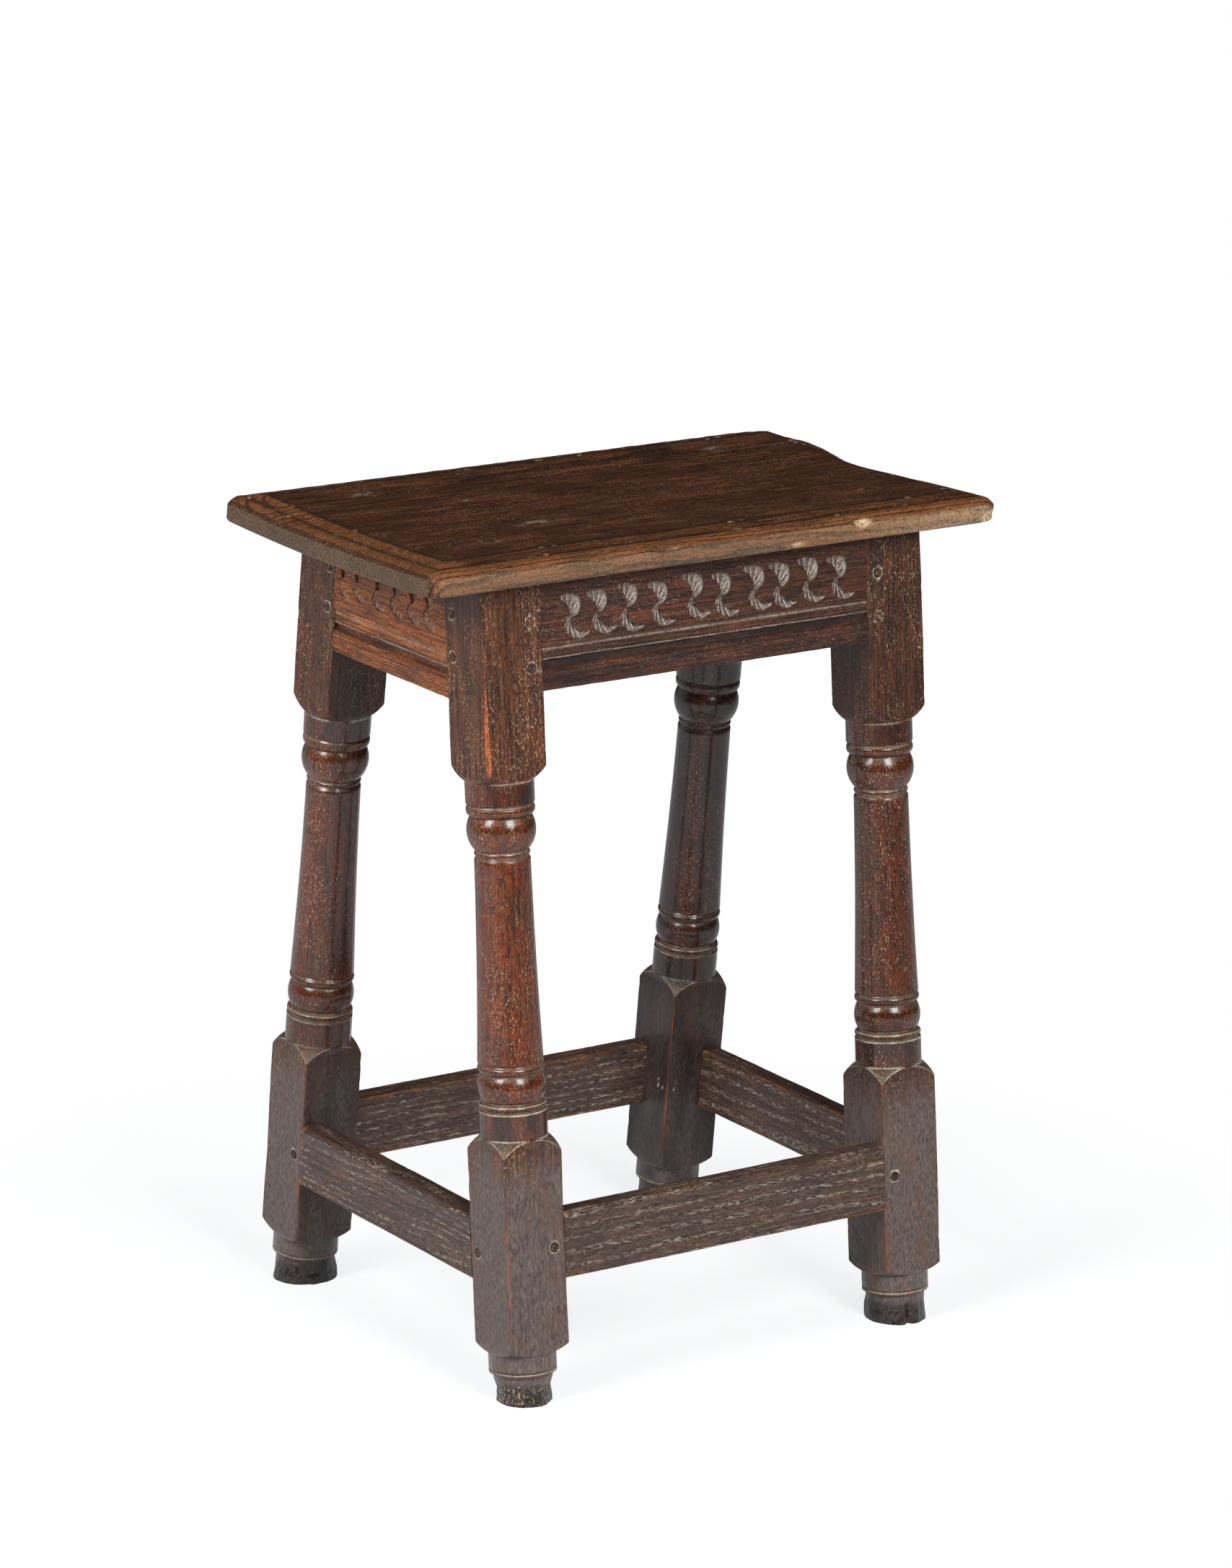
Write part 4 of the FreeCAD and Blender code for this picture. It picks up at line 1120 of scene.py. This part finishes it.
def paint_seat(board):
    """Worn nosing and band, dirt and specks in the incised lines, scuffs round the pegs, and pale breaks."""
    points = points_of(board)
    inward = edge_distance(points)
    nosing = smooth_step(inward, 13.5, 8.5)
    sloping = smooth_step(inward, 25, 21) * (1 - nosing)
    patchy = 0.5 + 0.5 * wander(points, (30, 22, 22), 64)
    sharp = smooth_step(bending(board), 0.15, 0.4)
    worn = np.maximum(nosing * (0.3 + 0.5 * patchy) + sloping * 0.35 * patchy, 0.5 * sharp)
    worn += 0.45 * nosing * smooth_step(points[:, 0], 40, 200)
    worn += 0.35 * sloping * smooth_step(points[:, 0], -190, -205)
    worn *= 1 - 0.8 * (points[:, 0] < 4 - SEAT_LENGTH / 2)
    paint(board, "worn", worn)
    lines = near(inward, 12.2, 1.5) + near(inward, 23.6, 1.6)
    paint(board, "dirt_and_shade", lines * (1.3 + 0.6 * wander(points, (9, 9, 9), 65)))
    specks = smooth_step(wander(points, (3, 3, 3), 66) + 0.5 * wander(points, (30, 30, 30), 67), 0.4, 0.8)
    scuffs = sum(near(points[:, 0], x, wide) * near(points[:, 1], y, deep) for x, y, wide, deep in SCUFFS)
    scuffs *= smooth_step(wander(points, (9, 4, 9), 68), -0.1, 0.3)
    edge = inward < 1.6
    paint(board, "dust_and_sheen", np.maximum.reduce([lines * specks, 0.55 * scuffs, 0.14 * edge]))
    points[:, 2] -= cup(points)
    breaks = smooth_step(broken_share(points), 0.25, 0.5)
    paint(board, "broken_and_highlit", np.maximum(breaks, 0.3 * edge * smooth_step(points[:, 0], 80, 210)))


class STOOL_OT_seat(bpy.types.Operator):
    """Mould the seat board, cup it, and wear its edges"""
    bl_idname = "stool.seat"
    bl_label = "Seat"

    def execute(self, context):
        board = moulded_board()
        wear_seat(board, context.scene.stool_sizes)
        paint_seat(board)
        look = SEAT_LOOK | {"mid": (*context.scene.stool_colours.seat_oak, 1), "turn": (0, 90, 0),
                            "heart": (-646, -100, 0)}
        finish(board, old_oak("Waxed oak, seat board", look))
        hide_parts("seat_board")
        return {"FINISHED"}


class STOOL_OT_pegs(bpy.types.Operator):
    """Dress the riven pegs as end grain"""
    bl_idname = "stool.pegs"
    bl_label = "Pegs"

    def execute(self, context):
        colours = context.scene.stool_colours
        look = LEG_LOOK | {
            "glow": (*colours.leg_glow, 1), "dark": "#1e1410", "mid": (*colours.peg_oak, 1),
            "glaze_and_light": LEGS[0][3], "heart": (60, -90, 0), "roughness": 0.55}
        # End grain soaks up wax and dirt, so it is dark and matt; no floor greys it and no lathe polished it
        for key in ("low_from", "polish"):
            look.pop(key)
        oak = old_oak("Riven oak, end grain of the pegs", look)
        scuffed = look | {"specks": 1.0, "speck": "#b4a890", "light": "#8a6a4c"}
        pale = old_oak("Riven oak, scuffed ends of the seat pegs", scuffed)
        for name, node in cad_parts.items():
            if name.startswith("pegs_"):
                dress(node, pale if name == "pegs_seat" else oak)
        return {"FINISHED"}


# Stage

def add_lamp(name, place_at, aim_at, power, width, height):
    """Rectangular soft lamp at a place, aimed at a point."""
    lamp = bpy.data.objects.new("lamp_" + name, bpy.data.lights.new("lamp_" + name, "AREA"))
    bpy.context.scene.collection.objects.link(lamp)
    lamp.location = place_at
    lamp.rotation_euler = (Vector(aim_at) - Vector(place_at)).to_track_quat("-Z", "Y").to_euler()
    lamp.data.shape = "RECTANGLE"
    lamp.data.size = width
    lamp.data.size_y = height
    lamp.data.energy = power


def camera_share(tree, seen, lit):
    """One value for what the camera sees and another for what lights the stool."""
    return add_node(tree, "Mix", add_node(tree, "LightPath", output="Is Camera Ray"), lit, seen)


def paper_floor():
    """White paper, blown out by the picture's light: it keeps a faint shadow and fades into the white."""
    material, tree, shader = new_material("White paper floor")
    node = partial(add_node, tree)
    base = node("Mix", camera_share(tree, 1.0, 0.0), "#dfe3e8", "#ffffff", **COLOURS)
    tree.links.new(base, shader.inputs["Base Color"])
    shader.inputs["Roughness"].default_value = 0.95
    shader.inputs["Specular IOR Level"].default_value = 0.0
    glow = node("Emission", (0.98, 0.992, 1.0, 1), 1.0)
    seen = node("MixShader", camera_share(tree, 0.82, 0.0), shader.outputs["BSDF"], glow)
    away = node("VectorMath", node("TexCoord", output="Object"), operation="LENGTH")
    clear = node("Math", node("MapRange", away, 0.32, 0.62, **SOFT), camera_share(tree, 1.0, 0.0), **TIMES)
    to_surface(tree, node("MixShader", clear, seen, node("BsdfTransparent")))
    return material


class STOOL_OT_stage(bpy.types.Operator):
    """Lay a white floor, hang the lamps and set the camera"""
    bl_idname = "stool.stage"
    bl_label = "Stage"

    def execute(self, context):
        sizes = context.scene.stool_sizes
        context.scene.view_settings.view_transform = "Standard"
        camera = bpy.data.objects.new("camera", bpy.data.cameras.new("camera"))
        context.scene.collection.objects.link(camera)
        camera.location = sizes.camera_place
        camera.rotation_euler = sizes.camera_turn
        camera.data.lens = sizes.camera_lens
        camera.data.sensor_width = 36
        camera.data.clip_end = 60
        context.scene.camera = camera
        bpy.ops.mesh.primitive_plane_add(size=40)
        floor = context.object
        floor.name = "floor"
        dress(floor, paper_floor())
        world = bpy.data.worlds.new("White studio")
        context.scene.world = world
        world.use_nodes = True
        background = world.node_tree.nodes["Background"]
        background.inputs["Color"].default_value = (1, 1, 1, 1)
        strength = camera_share(world.node_tree, 1.0, 0.04)
        world.node_tree.links.new(strength, background.inputs["Strength"])
        add_lamp("window_right", (-0.12, -2.6, 1.95), (0, 0, 0.3), 100, 1.1, 1.3)
        add_lamp("window_left", (-2.55, -0.5, 1.95), (0, 0, 0.3), 94, 1.1, 1.3)
        add_lamp("card_left", (-1.45, 2.05, 1.2), (0, 0, 0.35), 9, 2.6, 2.6)
        add_lamp("overhead", (0, 0, 2.8), (0, 0, 0), 6, 1.6, 1.6)
        return {"FINISHED"}


class STOOL_PT_pieces(bpy.types.Panel):
    """All the steps in order"""
    bl_idname = "STOOL_PT_pieces"
    bl_label = "Joint stool"
    bl_space_type = "VIEW_3D"
    bl_region_type = "UI"
    bl_category = "Stool"

    def draw(self, context):
        for operator in OPERATORS:
            self.layout.operator(operator.bl_idname)
        for group in (context.scene.stool_sizes, context.scene.stool_colours):
            for name in type(group).__annotations__:
                self.layout.prop(group, name)


OPERATORS = (
    STOOL_OT_legs, STOOL_OT_friezes, STOOL_OT_stretchers, STOOL_OT_seat, STOOL_OT_pegs, STOOL_OT_stage)
CLASSES = (StoolSizes, StoolColours, *OPERATORS, STOOL_PT_pieces)


def register():
    for item in CLASSES:
        bpy.utils.register_class(item)
    bpy.types.Scene.stool_sizes = PointerProperty(type=StoolSizes)
    bpy.types.Scene.stool_colours = PointerProperty(type=StoolColours)


def unregister():
    del bpy.types.Scene.stool_colours
    del bpy.types.Scene.stool_sizes
    for item in reversed(CLASSES):
        bpy.utils.unregister_class(item)


def main():
    register()
    for operator in OPERATORS:
        getattr(bpy.ops.stool, operator.bl_idname.split(".")[1])()


if __name__ == "__main__":
    main()
